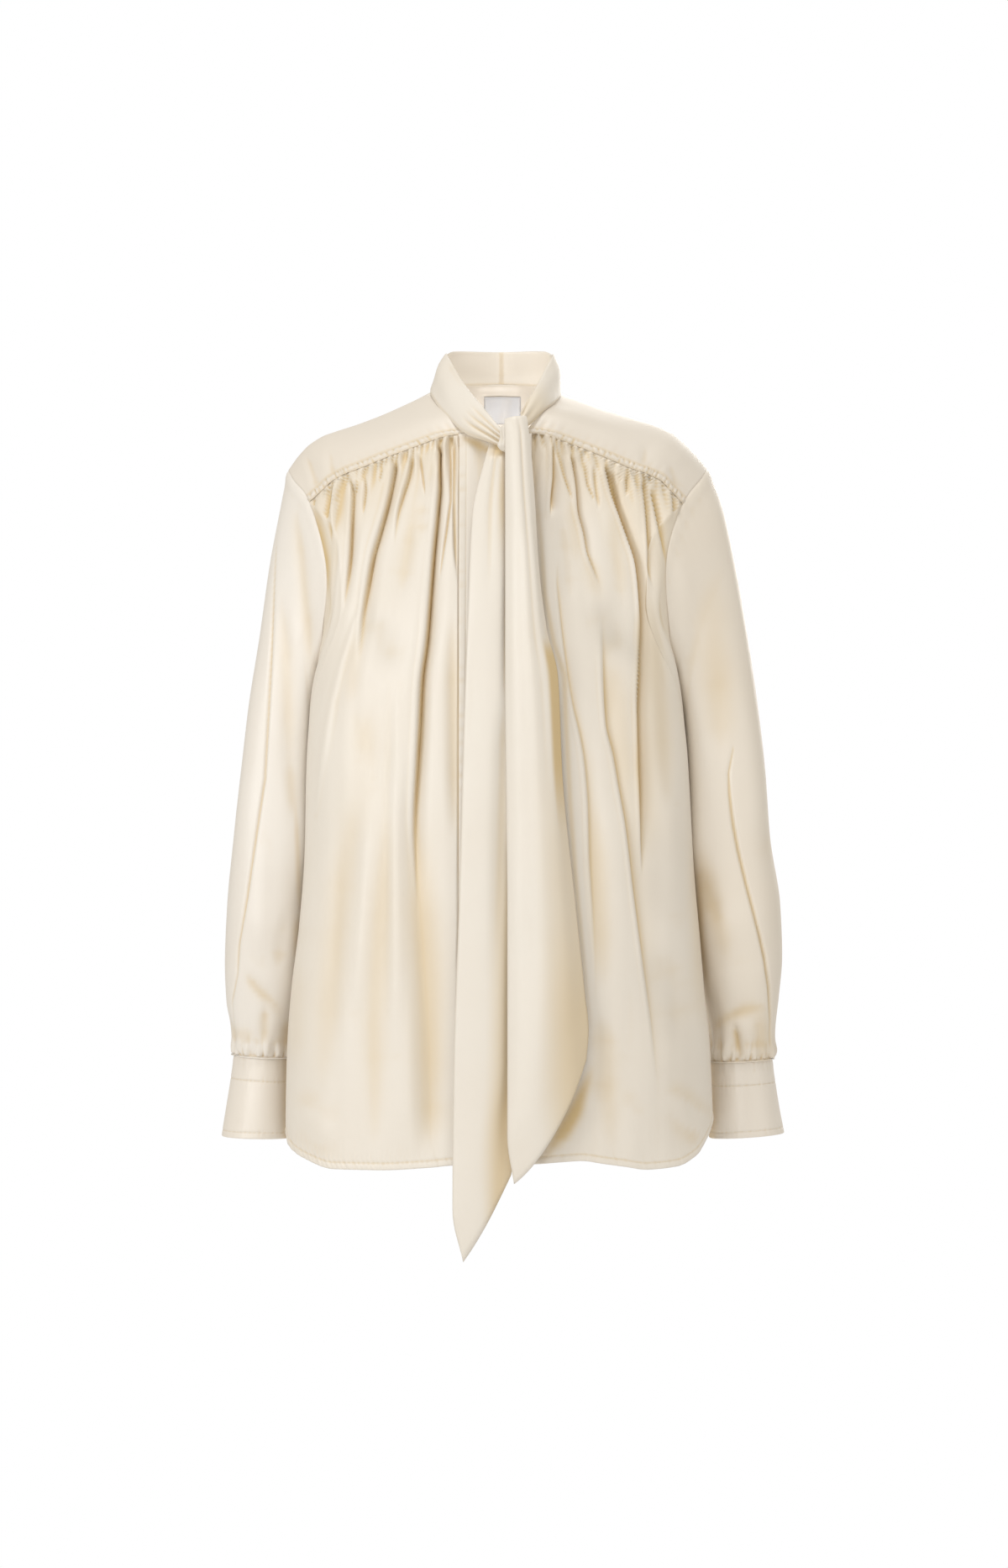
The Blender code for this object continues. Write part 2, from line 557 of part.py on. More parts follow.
def build_back():
    gathers, arm = BACK["gathers"], BACK["armhole_columns"]
    per_side = gathers + arm
    dense = np.linspace(0, 1, 2 * per_side + 1)
    top = back_point(dense, 0 * dense)
    w = np.abs(2 * dense - 1)
    way, step = np.zeros_like(top), np.zeros_like(top)
    for side, half in ((RIGHT, dense < 0.5), (LEFT, dense >= 0.5)):
        on_arm = np.clip((w - gathers / per_side) / (arm / per_side), 0, 1)
        turn = NOTCH_BACK - (180 + NOTCH_BACK) * on_arm
        lean = seam_way(side, np.clip(w * per_side / gathers, 0, 1), False)
        down = seam_step(np.gradient(top, axis=0), lean, np.array([0.0, 0.0, -1.0]))
        edge = (on_arm > 1e-6)[:, None]
        way[half] = np.where(edge, armhole_way(side, turn), lean)[half]
        step[half] = np.where(edge, armhole_step(side, turn), down)[half]
    for k in (arm, 2 * per_side - arm):
        step[k] = unit(step[k - 1] + step[k + 1])
    dense[0] += 2 * SEAM / 500.0
    dense[-1] -= 2 * SEAM / 500.0
    rows = []
    for k, v in enumerate(DROP):
        u = dense if k < DENSE_ROWS else halve(dense)
        vv = np.full_like(u, v)
        p = back_point(u, vv)
        column = np.arange(len(u)) * (1 if k < DENSE_ROWS else 2)
        out = outward(p, back_point, u, vv)
        if k < 2:
            out = way if k == 0 else unit(out + 0.5 * way)
        zig = np.where(column % 2 == 0, -1.0, 1.0)
        near = np.abs(column - per_side)
        height = BACK["gather_height"] * (1 - smooth(gathers - 4, gathers, near))
        height = height * (1 - smooth(0.0, 0.13, v))
        sink = fold_depth(BACK_FOLDS, p[:, 0], p[:, 2]) * smooth(0.0, 0.03, vv)
        arm_edge = smooth(gathers, gathers + 2, near) * (1 - smooth(0, 0.04, v))
        sink = sink * (1 - arm_edge) * (1 - 0.8 * smooth(0.9, 1.0, near / per_side))
        if k == 0:
            p = p + step * SEAM * 1.1
        rows.append(p + out * (zig * height - sink)[:, None])
    return shell("back", rows, WALL["body"], "body", ways=[(np.arange(len(dense)), way, 1.0)])


def build_yoke():
    """One saddle over both shoulders; the two front seams are its ends."""
    across = np.array([0, 3, 6, 9.5, 13, 16, 18, 19, 20, 21, 22, 23]) / 23.0
    u = np.linspace(0, 0.62, 2001)
    turns = np.arange(NOTCH_FRONT, NOTCH_BACK - 1, -ARM_PITCH)
    over_arm = np.interp(-turns, -track(YOKE[RIGHT], "u", "far", u), u)
    along = np.concatenate([over_arm, np.linspace(0.62, 1.0, 11)[1:]])
    wide = 2 * len(along) - 1
    grid = np.array([np.concatenate([yoke_point(RIGHT, along, np.full_like(along, v)),
                                     yoke_point(LEFT, along, np.full_like(along, v))[::-1][1:]])
                     for v in across])
    way, moved = np.zeros_like(grid), grid.copy()
    up = np.array([0.0, 0.0, 1.0])
    for side in (RIGHT, LEFT):
        columns = np.arange(len(along)) if side == RIGHT else wide - 1 - np.arange(len(along))
        far = track(YOKE[side], "u", "far", along)
        arm = far >= NOTCH_BACK - 1e-3
        outer = grid[-1, columns]
        lean = seam_way(side, 1 - np.clip((NOTCH_BACK - far) / 56.0, 0, 1), False)
        lean[arm] = armhole_way(side, far[arm])
        back = seam_step(np.gradient(outer, axis=0), lean, up)
        back[arm] = armhole_step(side, far[arm])
        way[-1, columns] = lean
        moved[-1, columns] += back * SEAM
        front = seam_way(side, across, True)
        rise = seam_step(np.gradient(grid[:, columns[0]], axis=0), front, up)
        way[:, columns[0]] = front
        moved[:, columns[0]] += rise * SEAM
    at = np.arange(wide * len(across)).reshape(len(across), wide)
    edge = np.unique(np.concatenate([at[-1], at[:, 0], at[:, -1]]))
    ways = [(edge, way.reshape(-1, 3)[edge], 1.0)]
    return shell("yoke", list(moved), WALL["yoke"], "yoke", ways=ways)


# ---- sleeves and cuffs -------------------------------------------------------

Cut = namedtuple("Cut", "s out_x out_z in_x in_z mid_y deep")
SLEEVE = {
    RIGHT: [Cut(0.00, -202, -78, -163, -288, 2, 66), Cut(0.07, -210, -118, -171, -304, 8, 62),
            Cut(0.15, -219, -165, -176, -326, 14, 60), Cut(0.27, -229, -236, -179, -352, 18, 60),
            Cut(0.39, -239, -300, -181, -385, 20, 61), Cut(0.51, -246, -360, -182, -420, 21, 62),
            Cut(0.63, -253.5, -426, -184, -463, 22, 63), Cut(0.75, -260, -492, -186, -512, 22, 63),
            Cut(0.85, -262, -548, -191, -558, 24, 60), Cut(0.92, -261, -584, -195, -590, 24, 54),
            Cut(0.96, -257, -607, -198, -612, 23, 48), Cut(1.00, -254, -634, -199, -637, 22, 37)],
    LEFT: [Cut(0.00, 198, -76, 160, -288, 2, 66), Cut(0.07, 212, -112, 168, -304, 8, 62),
           Cut(0.15, 224, -164, 173, -326, 14, 60), Cut(0.27, 236, -232, 176, -352, 18, 60),
           Cut(0.39, 246, -300, 178, -385, 20, 61), Cut(0.51, 253, -360, 179, -420, 21, 62),
           Cut(0.63, 258, -426, 181, -463, 22, 63), Cut(0.75, 268, -490, 184, -512, 22, 63),
           Cut(0.85, 270, -540, 191, -558, 24, 60), Cut(0.92, 267, -580, 197, -590, 24, 54),
           Cut(0.96, 264, -605, 200, -612, 23, 48), Cut(1.00, 260, -638, 201, -641, 22, 37)],
}
SLEEVE_COLUMNS = 30
SLEEVE_ROWS = [0, 0.035, 0.08, 0.15, 0.24, 0.34, 0.44, 0.54, 0.64, 0.73, 0.81, 0.875, 0.925,
               0.962, 0.985, 1.0]
SLEEVE_DENSE = 3         # rows above the cuff that have the gathers' own columns

Crease = namedtuple("Crease", "turn0 s0 turn1 s1 width depth")
SLEEVE_FOLDS = {
    RIGHT: [Crease(70, 0.18, 40, 0.62, 0.045, 5), Crease(130, 0.12, 60, 0.40, 0.045, 5),
            Crease(100, 0.45, 150, 0.85, 0.05, 6), Crease(20, 0.80, 62, 0.93, 0.03, 4),
            Crease(-60, 0.2, -100, 0.7, 0.05, 6), Crease(-140, 0.3, -90, 0.8, 0.05, 5),
            Crease(180, 0.2, 200, 0.6, 0.05, 5)],
    LEFT: [Crease(60, 0.22, 48, 0.70, 0.045, 5), Crease(125, 0.12, 70, 0.45, 0.045, 5),
           Crease(90, 0.5, 140, 0.86, 0.05, 6), Crease(30, 0.82, 75, 0.92, 0.03, 4),
           Crease(-70, 0.18, -110, 0.7, 0.05, 6), Crease(-150, 0.3, -95, 0.78, 0.05, 5),
           Crease(180, 0.25, 205, 0.6, 0.05, 5)],
}


def sleeve_point(side, turn, s):
    rows = SLEEVE[side]
    out = np.stack([track(rows, "s", "out_x", s), 0 * s, track(rows, "s", "out_z", s)], -1)
    inn = np.stack([track(rows, "s", "in_x", s), 0 * s, track(rows, "s", "in_z", s)], -1)
    a = np.radians(turn)
    c, sn = np.cos(a), np.sin(a)
    c = np.sign(c) * np.abs(c) ** 0.92
    sn = np.sign(sn) * np.abs(sn) ** 0.92
    p = (out + inn) / 2 + (out - inn) / 2 * c[..., None]
    p[..., 1] = track(rows, "s", "mid_y", s) - track(rows, "s", "deep", s) * sn
    top = rows[0]
    ox, oz, ix, iz = top.out_x, top.out_z, top.in_x, top.in_z
    ring0 = np.stack([(ox + ix) / 2 + (ox - ix) / 2 * c, top.mid_y - top.deep * sn,
                      (oz + iz) / 2 + (oz - iz) / 2 * c], -1)
    return p + (armhole(side, turn) - ring0) * ((1 - s) ** 5)[..., None]


def sleeve_sink(side, turn, s):
    total = np.zeros(np.shape(s))
    for f in SLEEVE_FOLDS[side]:
        t = np.clip((s - f.s0) / (f.s1 - f.s0), -0.3, 1.3)
        path = f.turn0 + (f.turn1 - f.turn0) * t
        gap = np.abs(np.mod(turn - path + 180, 360) - 180) / 360
        fade = smooth(-0.1, 0.25, t) * (1 - smooth(0.7, 1.1, t))
        total += f.depth * fade * np.exp(-(gap / f.width) ** 2)
    return total


def build_sleeve(side):
    rows = []
    first_dense = len(SLEEVE_ROWS) - SLEEVE_DENSE
    for k, s in enumerate(SLEEVE_ROWS):
        n = SLEEVE_COLUMNS * (2 if k >= first_dense else 1)
        turn = np.arange(n) * 360.0 / n
        ss = np.full(n, min(float(s), 0.9992))
        p = sleeve_point(side, turn, ss)
        bump = 0.5
        q = (sleeve_point(side, turn + bump, ss) - sleeve_point(side, turn - bump, ss))
        r = (sleeve_point(side, turn, np.clip(ss + 0.004, 0, 1))
             - sleeve_point(side, turn, np.clip(ss - 0.004, 0, 1)))
        n_out = unit(np.cross(q, r)) * side
        sink = sleeve_sink(side, turn, ss)
        zig = np.where(np.arange(n) % 2 == 0, 1.0, -1.0) if k >= first_dense else 0.0
        height = 2.0 * smooth(SLEEVE_ROWS[first_dense - 1], 0.985, s)
        rows.append(p + n_out * (zig * height - sink)[:, None] if k else p)
    turn = np.arange(SLEEVE_COLUMNS) * 360.0 / SLEEVE_COLUMNS
    rows[0] = rows[0] - armhole_step(side, turn) * SEAM
    ways = [(np.arange(SLEEVE_COLUMNS), armhole_way(side, turn), 1.0)]
    name = "sleeve_right" if side == RIGHT else "sleeve_left"
    return shell(name, rows, WALL["sleeve"], "sleeve", closed=True, flip=(side == RIGHT), ways=ways)


Band = namedtuple("Band", "v out_x out_z in_x in_z mid_y deep")
CUFF = {
    RIGHT: [Band(0.0, -254.5, -636.5, -199, -640, 22, 37), Band(0.3, -257, -656, -199, -660, 22, 38),
            Band(0.6, -261, -681, -199, -684, 22, 40), Band(1.0, -266, -712, -198.5, -713.5, 22, 42)],
    LEFT: [Band(0.0, 260.5, -640.5, 201, -644, 22, 37), Band(0.3, 263.5, -661, 201, -664, 22, 38),
           Band(0.6, 267.5, -686, 200.5, -688, 22, 40), Band(1.0, 272, -709, 200, -714, 22, 42)],
}
CUFF_ROWS = [0.0, 0.29, 0.33, 0.37, 0.7, 1.0]
CUFF_RIDGE = {0.33: 0.7}


def build_cuff(side):
    rows = []
    n = 28
    turn = np.radians(np.arange(n) * 360.0 / n)
    for v in CUFF_ROWS:
        col = {c: float(track(CUFF[side], "v", c, v)) for c in Band._fields[1:]}
        grow = CUFF_RIDGE.get(v, 0.0)
        c = np.sign(np.cos(turn)) * np.abs(np.cos(turn)) ** 0.95
        sn = np.sign(np.sin(turn)) * np.abs(np.sin(turn)) ** 0.95
        half = abs(col["out_x"] - col["in_x"]) / 2 + grow
        x = (col["out_x"] + col["in_x"]) / 2 + side * half * c
        z = (col["out_z"] + col["in_z"]) / 2 + (col["out_z"] - col["in_z"]) / 2 * c
        y = col["mid_y"] - (col["deep"] + grow) * sn
        rows.append(np.stack([x, y, z], -1))
    name = "cuff_right" if side == RIGHT else "cuff_left"
    return shell(name, rows, WALL["cuff"], "cuff", closed=True, flip=(side == RIGHT))


# ---- placket, collar, ties ---------------------------------------------------

def build_placket():
    """The front band that hides the buttons, from the neck to the hem."""
    across = np.linspace(-38.0, 30.0, 7)
    rows = []
    for v in [0, 0.03, 0.07, 0.12, 0.18, 0.25, 0.33, 0.42, 0.52, 0.62, 0.72, 0.82, 0.91, 1.0]:
        z = -46.3 + (-729.0 + 46.3) * v
        side = np.where(across < -2, RIGHT, LEFT)
        share = np.abs(across + 2) / 285.0
        p = np.where((side == RIGHT)[:, None], body_round(RIGHT, share, np.full(7, z)),
                     body_round(LEFT, share, np.full(7, z)))
        x = across.copy()
        low = track(HEM_FRONT, "x", "z", x)
        zz = np.full(7, z) + (low + 729.0) * v
        rows.append(np.stack([x, p[:, 1] - 0.4, zz], -1))
    return shell("placket", rows, WALL["placket"], "body", flip=True)


Post = namedtuple("Post", "u low_x low_y low_z top_x top_y top_z belly")
COLLAR = [
    Post(0.00, 2.5, -94, -57, 4.5, -95, -47.5, 0.5), Post(0.05, -12, -89, -50.5, -6, -88, -34, 3),
    Post(0.11, -33, -78, -43.0, -18, -72, -19, 4), Post(0.19, -48.5, -57.4, -29.3, -31, -52, -2, 3.5),
    Post(0.28, -60.5, -32.3, -16.3, -43.5, -26, 19.5, 3), Post(0.36, -67, -2, -4.3, -52, 3, 37, 2.5),
    Post(0.42, -63.5, 30, 1.2, -51, 31, 40, 2), Post(0.49, -38, 57, 5.7, -31, 51, 40, 2),
    Post(0.55, 1.5, 68.5, 7.7, 1.5, 61, 40, 2), Post(0.61, 36, 57, 5.7, 29, 51, 40, 2),
    Post(0.67, 56.5, 30, 0.7, 48.5, 31, 40, 2), Post(0.73, 58.5, -2, -5.3, 50.5, 3, 37, 2.5),
    Post(0.81, 53, -32.3, -14.8, 43, -26, 17.5, 3), Post(0.89, 42, -57.4, -25.3, 33, -51, -3, 3.5),
    Post(0.95, 27, -74.5, -38, 25, -68, -18, 3), Post(1.00, 17, -86, -45, 21.5, -78, -27, 1),
]


def build_collar():
    u = np.concatenate([np.linspace(0, 0.36, 13), np.linspace(0.36, 0.73, 14)[1:],
                        np.linspace(0.73, 1.0, 11)[1:]])
    low = spot(COLLAR, "u", u, ("low_x", "low_y", "low_z"))
    top = spot(COLLAR, "u", u, ("top_x", "top_y", "top_z"))
    belly = track(COLLAR, "u", "belly", u)
    rows = []
    for v in (0.0, 0.25, 0.5, 0.75, 1.0):
        p = low + (top - low) * v
        away = unit(p * np.array([1.0, 1.0, 0.0]))
        rows.append(p + away * (belly * 4 * v * (1 - v))[:, None])
    return shell("collar_band", rows, WALL["collar"], "collar", flip=True)


Strip = namedtuple("Strip", "v left_x left_y left_z mid_x mid_y mid_z right_x right_y right_z")
TAIL_OVER = [
    Strip(0.00, 5.5, -102, -30, 14, -103.5, -28.5, 22.5, -100.5, -28.5),
    Strip(0.02, 4.5, -108, -27.5, 14, -110, -26, 24, -105.5, -26.5),
    Strip(0.06, 5.5, -112, -45, 17, -116, -45, 27, -109, -46),
    Strip(0.14, 5.5, -119, -100, 19, -126, -100, 33, -116, -100),
    Strip(0.25, 5, -130, -170, 23, -139, -170, 40, -128, -168),
    Strip(0.37, 5, -141, -262, 28, -150, -258, 54, -137, -250),
    Strip(0.52, 6, -145, -385, 36, -154, -380, 64, -138, -370),
    Strip(0.68, 7, -147, -500, 40, -156, -490, 73, -139, -480),
    Strip(0.84, 7, -147, -620, 42, -157, -600, 82, -140, -570),
    Strip(0.93, 6.5, -147, -700, 42, -156, -655, 85, -140, -604),
    Strip(1.00, 13, -146, -746, 48, -153, -704, 83, -141, -632),
]
TAIL_UNDER = [
    Strip(0.00, -8, -82, -50, 1, -83, -50, 9, -82, -50),
    Strip(0.02, -11, -88, -61, 1, -90, -61, 12, -88, -61),
    Strip(0.05, -14, -97, -72, 1, -101, -72, 15, -97, -72),
    Strip(0.14, -26, -110, -125, 0, -115, -125, 22, -110, -125),
    Strip(0.28, -30, -126, -220, 0, -130, -220, 25, -125, -220),
    Strip(0.45, -34, -133, -340, -2, -138, -340, 26, -132, -340),
    Strip(0.65, -38, -135, -490, -4, -140, -485, 26, -134, -480),
    Strip(0.85, -43, -136, -650, -7, -140, -640, 24, -135, -630),
    Strip(0.95, -44, -136, -770, -13, -140, -718, 16, -135, -690),
    Strip(1.00, -34, -136, -819, -12, -139, -784, 11, -135, -738),
]


def build_tail(name, rows_in, across):
    rows = []
    for v in [0, 0.02, 0.045, 0.08, 0.13, 0.19, 0.26, 0.34, 0.42, 0.50, 0.58, 0.66, 0.74,
              0.81, 0.87, 0.92, 0.96, 1.0]:
        left = spot(rows_in, "v", np.array(v), ("left_x", "left_y", "left_z"))
        mid = spot(rows_in, "v", np.array(v), ("mid_x", "mid_y", "mid_z"))
        right = spot(rows_in, "v", np.array(v), ("right_x", "right_y", "right_z"))
        t = np.linspace(0, 1, across)[:, None]
        bend = 2 * mid - (left + right) / 2
        rows.append((1 - t) ** 2 * left + 2 * t * (1 - t) * bend + t * t * right)
    return shell(name, rows, WALL["tail"], "tail", flip=True)


Roll = namedtuple("Roll", "z x y wide deep")
KNOT = [Roll(-58, 7.0, -100, 2.0, 1.2), Roll(-56, 7.0, -100.5, 4.4, 2.6), Roll(-50, 7.2, -101.3, 6.2, 3.6),
        Roll(-43, 7.6, -102, 6.4, 3.9), Roll(-37, 8.6, -102.2, 6.0, 3.4), Roll(-34, 9.6, -102, 4.4, 2.4),
        Roll(-32.6, 10.0, -102, 2.0, 1.1)]


def build_knot():
    """The crossing of the two ties: a closed roll behind the falling tail."""
    n = 18
    turn = np.radians(np.arange(n) * 360.0 / n)
    rows = [np.stack([r.x + r.wide * np.cos(turn), r.y + r.deep * np.sin(turn), r.z + 0 * turn], -1)
            for r in KNOT]
    points = np.concatenate(rows)
    faces = grid_faces([n] * len(rows), closed=True)
    faces.append(tuple(range(n))[::-1])
    faces.append(tuple(range(len(points) - n, len(points))))
    return solid("knot", points, faces, "collar")


LABEL = {"left": -15.0, "right": 20.0, "top": 0.055, "bottom": 0.245, "gap": 1.4}


def build_label():
    """A plain woven label inside the neck, below the collar seam."""
    rows = []
    for v in np.linspace(LABEL["top"], LABEL["bottom"], 4):
        x = np.linspace(LABEL["left"], LABEL["right"], 5)
        u = 1 - np.abs(x) / 210.0
        p = np.where((x < 0)[:, None], yoke_point(RIGHT, u, np.full(5, v)),
                     yoke_point(LEFT, u, np.full(5, v)))
        p[:, 0] = x
        rows.append(p + np.array([0.0, -0.975, -0.22]) * (WALL["yoke"] + LABEL["gap"]))
    return shell("label", rows, WALL["label"], "label")


def main():
    for item in list(bpy.data.objects):
        bpy.data.objects.remove(item)
    build_yoke()
    build_front(RIGHT)
    build_front(LEFT)
    build_back()
    build_placket()
    for side in (RIGHT, LEFT):
        build_sleeve(side)
        build_cuff(side)
    build_collar()
    build_knot()
    build_tail("tail_over", TAIL_OVER, 8)
    build_tail("tail_under", TAIL_UNDER, 8)
    build_label()


main()
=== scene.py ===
import math

import bpy
import numpy as np
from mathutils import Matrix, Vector


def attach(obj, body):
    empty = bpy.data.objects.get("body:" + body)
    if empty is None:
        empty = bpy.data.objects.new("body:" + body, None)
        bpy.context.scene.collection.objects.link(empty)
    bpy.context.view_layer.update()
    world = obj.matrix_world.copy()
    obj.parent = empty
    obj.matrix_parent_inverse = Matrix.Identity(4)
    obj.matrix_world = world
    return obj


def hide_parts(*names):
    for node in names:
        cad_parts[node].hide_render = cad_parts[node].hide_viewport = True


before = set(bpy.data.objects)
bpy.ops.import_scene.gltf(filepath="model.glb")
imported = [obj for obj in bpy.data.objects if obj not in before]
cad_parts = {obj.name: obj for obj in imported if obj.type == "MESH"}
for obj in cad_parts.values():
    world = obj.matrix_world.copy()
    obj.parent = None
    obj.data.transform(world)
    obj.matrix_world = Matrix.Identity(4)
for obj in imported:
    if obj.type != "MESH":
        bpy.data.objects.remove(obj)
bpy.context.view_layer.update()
right, left = -1, 1
sideNames = {right: "Right", left: "Left"}
forward, upward = np.array([0.0, -1.0, 0.0]), np.array([0.0, 0.0, 1.0])
mm = 0.001  # shapes are worked out in millimetres
fullTurn = 6.28  # radians


# curves and tables

def track(at, *knots):
    # Value at `at` of a monotone smooth curve through the (x, y) knots.
    knots = sorted(knots)
    x, y = np.array(knots, float).T
    h = np.diff(x)
    d = np.diff(y) / h
    m = np.zeros_like(y)
    m[0], m[-1] = d[0], d[-1]
    for k in range(1, len(y) - 1):
        if d[k - 1] * d[k] > 0:
            m[k] = 2 * d[k - 1] * d[k] / (d[k - 1] + d[k])
    at = np.clip(np.asarray(at, float), x[0], x[-1])
    k = np.clip(np.searchsorted(x, at, side="right") - 1, 0, len(h) - 1)
    t = (at - x[k]) / h[k]
    return ((1 + 2 * t) * (1 - t) ** 2 * y[k] + t * (1 - t) ** 2 * h[k] * m[k]
            + t * t * (3 - 2 * t) * y[k + 1] - t * t * (1 - t) * h[k] * m[k + 1])


def column(table, name, at):
    # A column of a table of rows, whose first column is the one read by.
    names, rows = table
    k = names.index(name)
    return track(at, *[(r[0], r[k]) for r in rows])


def columns(table, names, at):
    return np.stack([column(table, n, at) for n in names], -1)


def ring(table, at):
    # A closed smooth curve through rows of turn (degrees), x, y, z.
    rows = np.array(table, float)
    turn, pts, n = rows[:, 0], rows[:, 1:], len(rows)
    at = np.mod(np.asarray(at, float) - turn[0], 360.0) + turn[0]
    ends = np.append(turn, turn[0] + 360.0)
    k = np.clip(np.searchsorted(ends, at, side="right") - 1, 0, n - 1)
    h = (ends[k + 1] - ends[k])[..., None]
    t = (at - ends[k])[..., None] / h

    def slope(i):
        before, after = (i - 1) % n, (i + 1) % n
        return (pts[after] - pts[before]) / np.mod(turn[after] - turn[before], 360.0)[..., None]

    p0, p1 = pts[k], pts[(k + 1) % n]
    m0, m1 = slope(k) * h, slope((k + 1) % n) * h
    return ((2 * t ** 3 - 3 * t ** 2 + 1) * p0 + (t ** 3 - 2 * t ** 2 + t) * m0
            + (3 * t ** 2 - 2 * t ** 3) * p1 + (t ** 3 - t ** 2) * m1)


def step(low, high, x):
    t = np.clip((x - low) / (high - low), 0, 1)
    return t * t * (3 - 2 * t)


def fall(low, high, x):
    return 1 - step(low, high, x)


def bell(x, width):
    return np.exp(-(x / width) ** 2)


def unit(v):
    return v / np.maximum(np.linalg.norm(v, axis=-1, keepdims=True), 1e-9)


def waves(t, seed, low, high, count=5):
    # An uneven ripple of about unit height along t.
    pick = np.random.default_rng(seed)
    total = 0.0 * t
    for _ in range(count):
        turns = t * pick.uniform(low, high) + pick.uniform(0, fullTurn)
        total = total + np.sin(turns) * pick.uniform(0.5, 1)
    return total * 1.6 / count


def ringWaves(at, seed, low, high, count=5):
    # An uneven ripple that closes on itself as `at` goes from 0 to 1.
    pick = np.random.default_rng(seed)
    total = 0.0 * at
    for _ in range(count):
        turns = pick.integers(max(1, round(low)), max(2, round(high)) + 1)
        total = total + np.sin(math.tau * (turns * at + pick.uniform())) * pick.uniform(0.5, 1)
    return total * 1.6 / count


def both(a, b):
    # Two shades, one over the other.
    return 1 - (1 - a) * (1 - b)


def vec(*parts):
    return np.stack(np.broadcast_arrays(*[np.asarray(p, float) for p in parts]), -1)


# the worn form: body, armholes and yoke

levels = (("z", "halfWidth", "widestY", "frontY", "backY", "lean", "backRound"), [
    (-45, 190, -22, -71, 84, -3, 3.2), (-110, 184, -24, -91, 93, -2, 3.1),
    (-171, 171, -30, -108, 98, -3, 2.8), (-220, 170, -36, -118, 98, -3, 2.4),
    (-266, 173, -40, -122, 96, -3, 2.15), (-347, 180, -42, -126, 94, -2, 1.9),
    (-446, 184, -42, -128, 98, -1, 1.85), (-510, 189, -41, -129, 104, -1, 1.85),
    (-570, 195, -40, -129, 110, -2, 1.85), (-630, 200, -38, -129, 115, -1, 1.85),
    (-740, 203, -35, -129, 121, 0, 1.85)])
# the front's roundness, where the side seams lie, and the ring by which the cloth is shared out
frontRound, sideY = 2.35, 2.0
waist = {"halfWidth": 182.0, "widestY": -42.0, "frontY": -127.0, "backY": 96.0, "backRound": 1.85}


def around(turn, halfWidth, widestY, frontY, backY, backRound):
    c, s = np.cos(turn), np.abs(np.sin(turn))
    power = np.where(c > 0, 2 / frontRound, 2 / backRound)
    reach = np.where(c > 0, frontY - widestY, backY - widestY)
    return halfWidth * s ** power, widestY + reach * np.abs(c) ** power


def walk(front):
    # Share of the cloth from the centre to the side seam, against the angle.
    reach = (sideY - waist["widestY"]) / (waist["backY"] - waist["widestY"])
    beyond = math.asin(reach ** (waist["backRound"] / 2))
    turn = np.linspace(0, math.pi / 2 + (beyond if front else -beyond), 500)
    p = around(turn if front else math.pi - turn, **waist)
    share = np.append(0, np.cumsum(np.hypot(np.diff(p[0]), np.diff(p[1]))))
    return share / share[-1], turn


walks = {True: walk(True), False: walk(False)}


def bodyRound(side, share, z, front=True):
    # Point of the body's smooth form: share 0 at the centre, 1 at the side.
    beyond = np.where(np.asarray(share) < 0, -1.0, 1.0)
    turn = np.interp(np.abs(share), *walks[front])
    if not front:
        turn = math.pi - turn
    x, y = around(turn, *[column(levels, n, z) for n in waist])
    return vec(side * beyond * x + column(levels, "lean", z), y, z + 0 * x)


def shareAt(tops, front):
    # The share of the cloth at which the body's form comes level with each point.
    share = np.linspace(0, 1, 161)
    found = []
    for _, y, z in tops:
        line = bodyRound(left, share, np.full(len(share), z), front)[:, 1]
        found.append(np.interp(y, line, share) if front else np.interp(-y, -line, share))
    return np.array(found)


# where the yoke's seams meet the armhole, and how much further `far` counts along the back seam
notchFront, notchBack, backSpan = 48.0, -48.0, 56.0
# degrees round the armhole from the shoulder to the front, and the point there
armholes = {
    right: [(-180, -163, 2, -288), (-138, -161, 40, -268), (-94, -167, 62, -196),
            (-48, -184, 47, -119), (-24, -196, 24, -90), (0, -202, 4, -78), (22, -196, -20, -88),
            (48, -180, -42, -110), (90, -163.5, -61, -174), (136, -167, -50, -244)],
    left: [(-180, 160, 2, -288), (-138, 158, 40, -268), (-94, 163, 62, -196),
           (-48, 180, 47, -119), (-24, 192, 24, -88), (0, 198, 4, -76), (22, 192, -20, -86),
           (48, 173, -43, -112), (90, 157, -62, -166), (136, 160, -51, -244)]}
# the yoke's neck edge from the front to the back: a point, the place it hangs over, and its part
spokeNames = ("u", "x", "y", "z", "far", "front", "back")
yokeSpokes = {
    right: (spokeNames, [
        (0.00, -36, -70, -47.5, 48, 1.0, 0), (0.12, -48.5, -57, -30, 33, 0.7, 0),
        (0.25, -60.5, -32, -17, 15, 0.3, 0), (0.38, -67, -2, -5, 0, 0.0, 0),
        (0.50, -63.5, 30, 0.5, -24, 0.0, 0.4), (0.62, -54, 45, 3, -48, 0.0, 0.8),
        (0.76, -38, 57, 5, -68, 0.0, 1.0), (0.88, -19, 65.5, 6.5, -86, 0.0, 1.0),
        (1.00, 0, 68.5, 7, -104, 0.0, 1.0)]),
    left: (spokeNames, [
        (0.00, 28.5, -71, -46.5, 48, 1.0, 0), (0.12, 42, -57, -26, 33, 0.7, 0),
        (0.25, 53, -32, -15.5, 15, 0.3, 0), (0.38, 58.5, -2, -6, 0, 0.0, 0),
        (0.50, 56.5, 30, 0, -24, 0.0, 0.4), (0.62, 49, 45, 3, -48, 0.0, 0.8),
        (0.76, 36, 57, 5, -68, 0.0, 1.0), (0.88, 18, 65.5, 6.5, -86, 0.0, 1.0),
        (1.00, 0, 68.5, 7, -104, 0.0, 1.0)])}
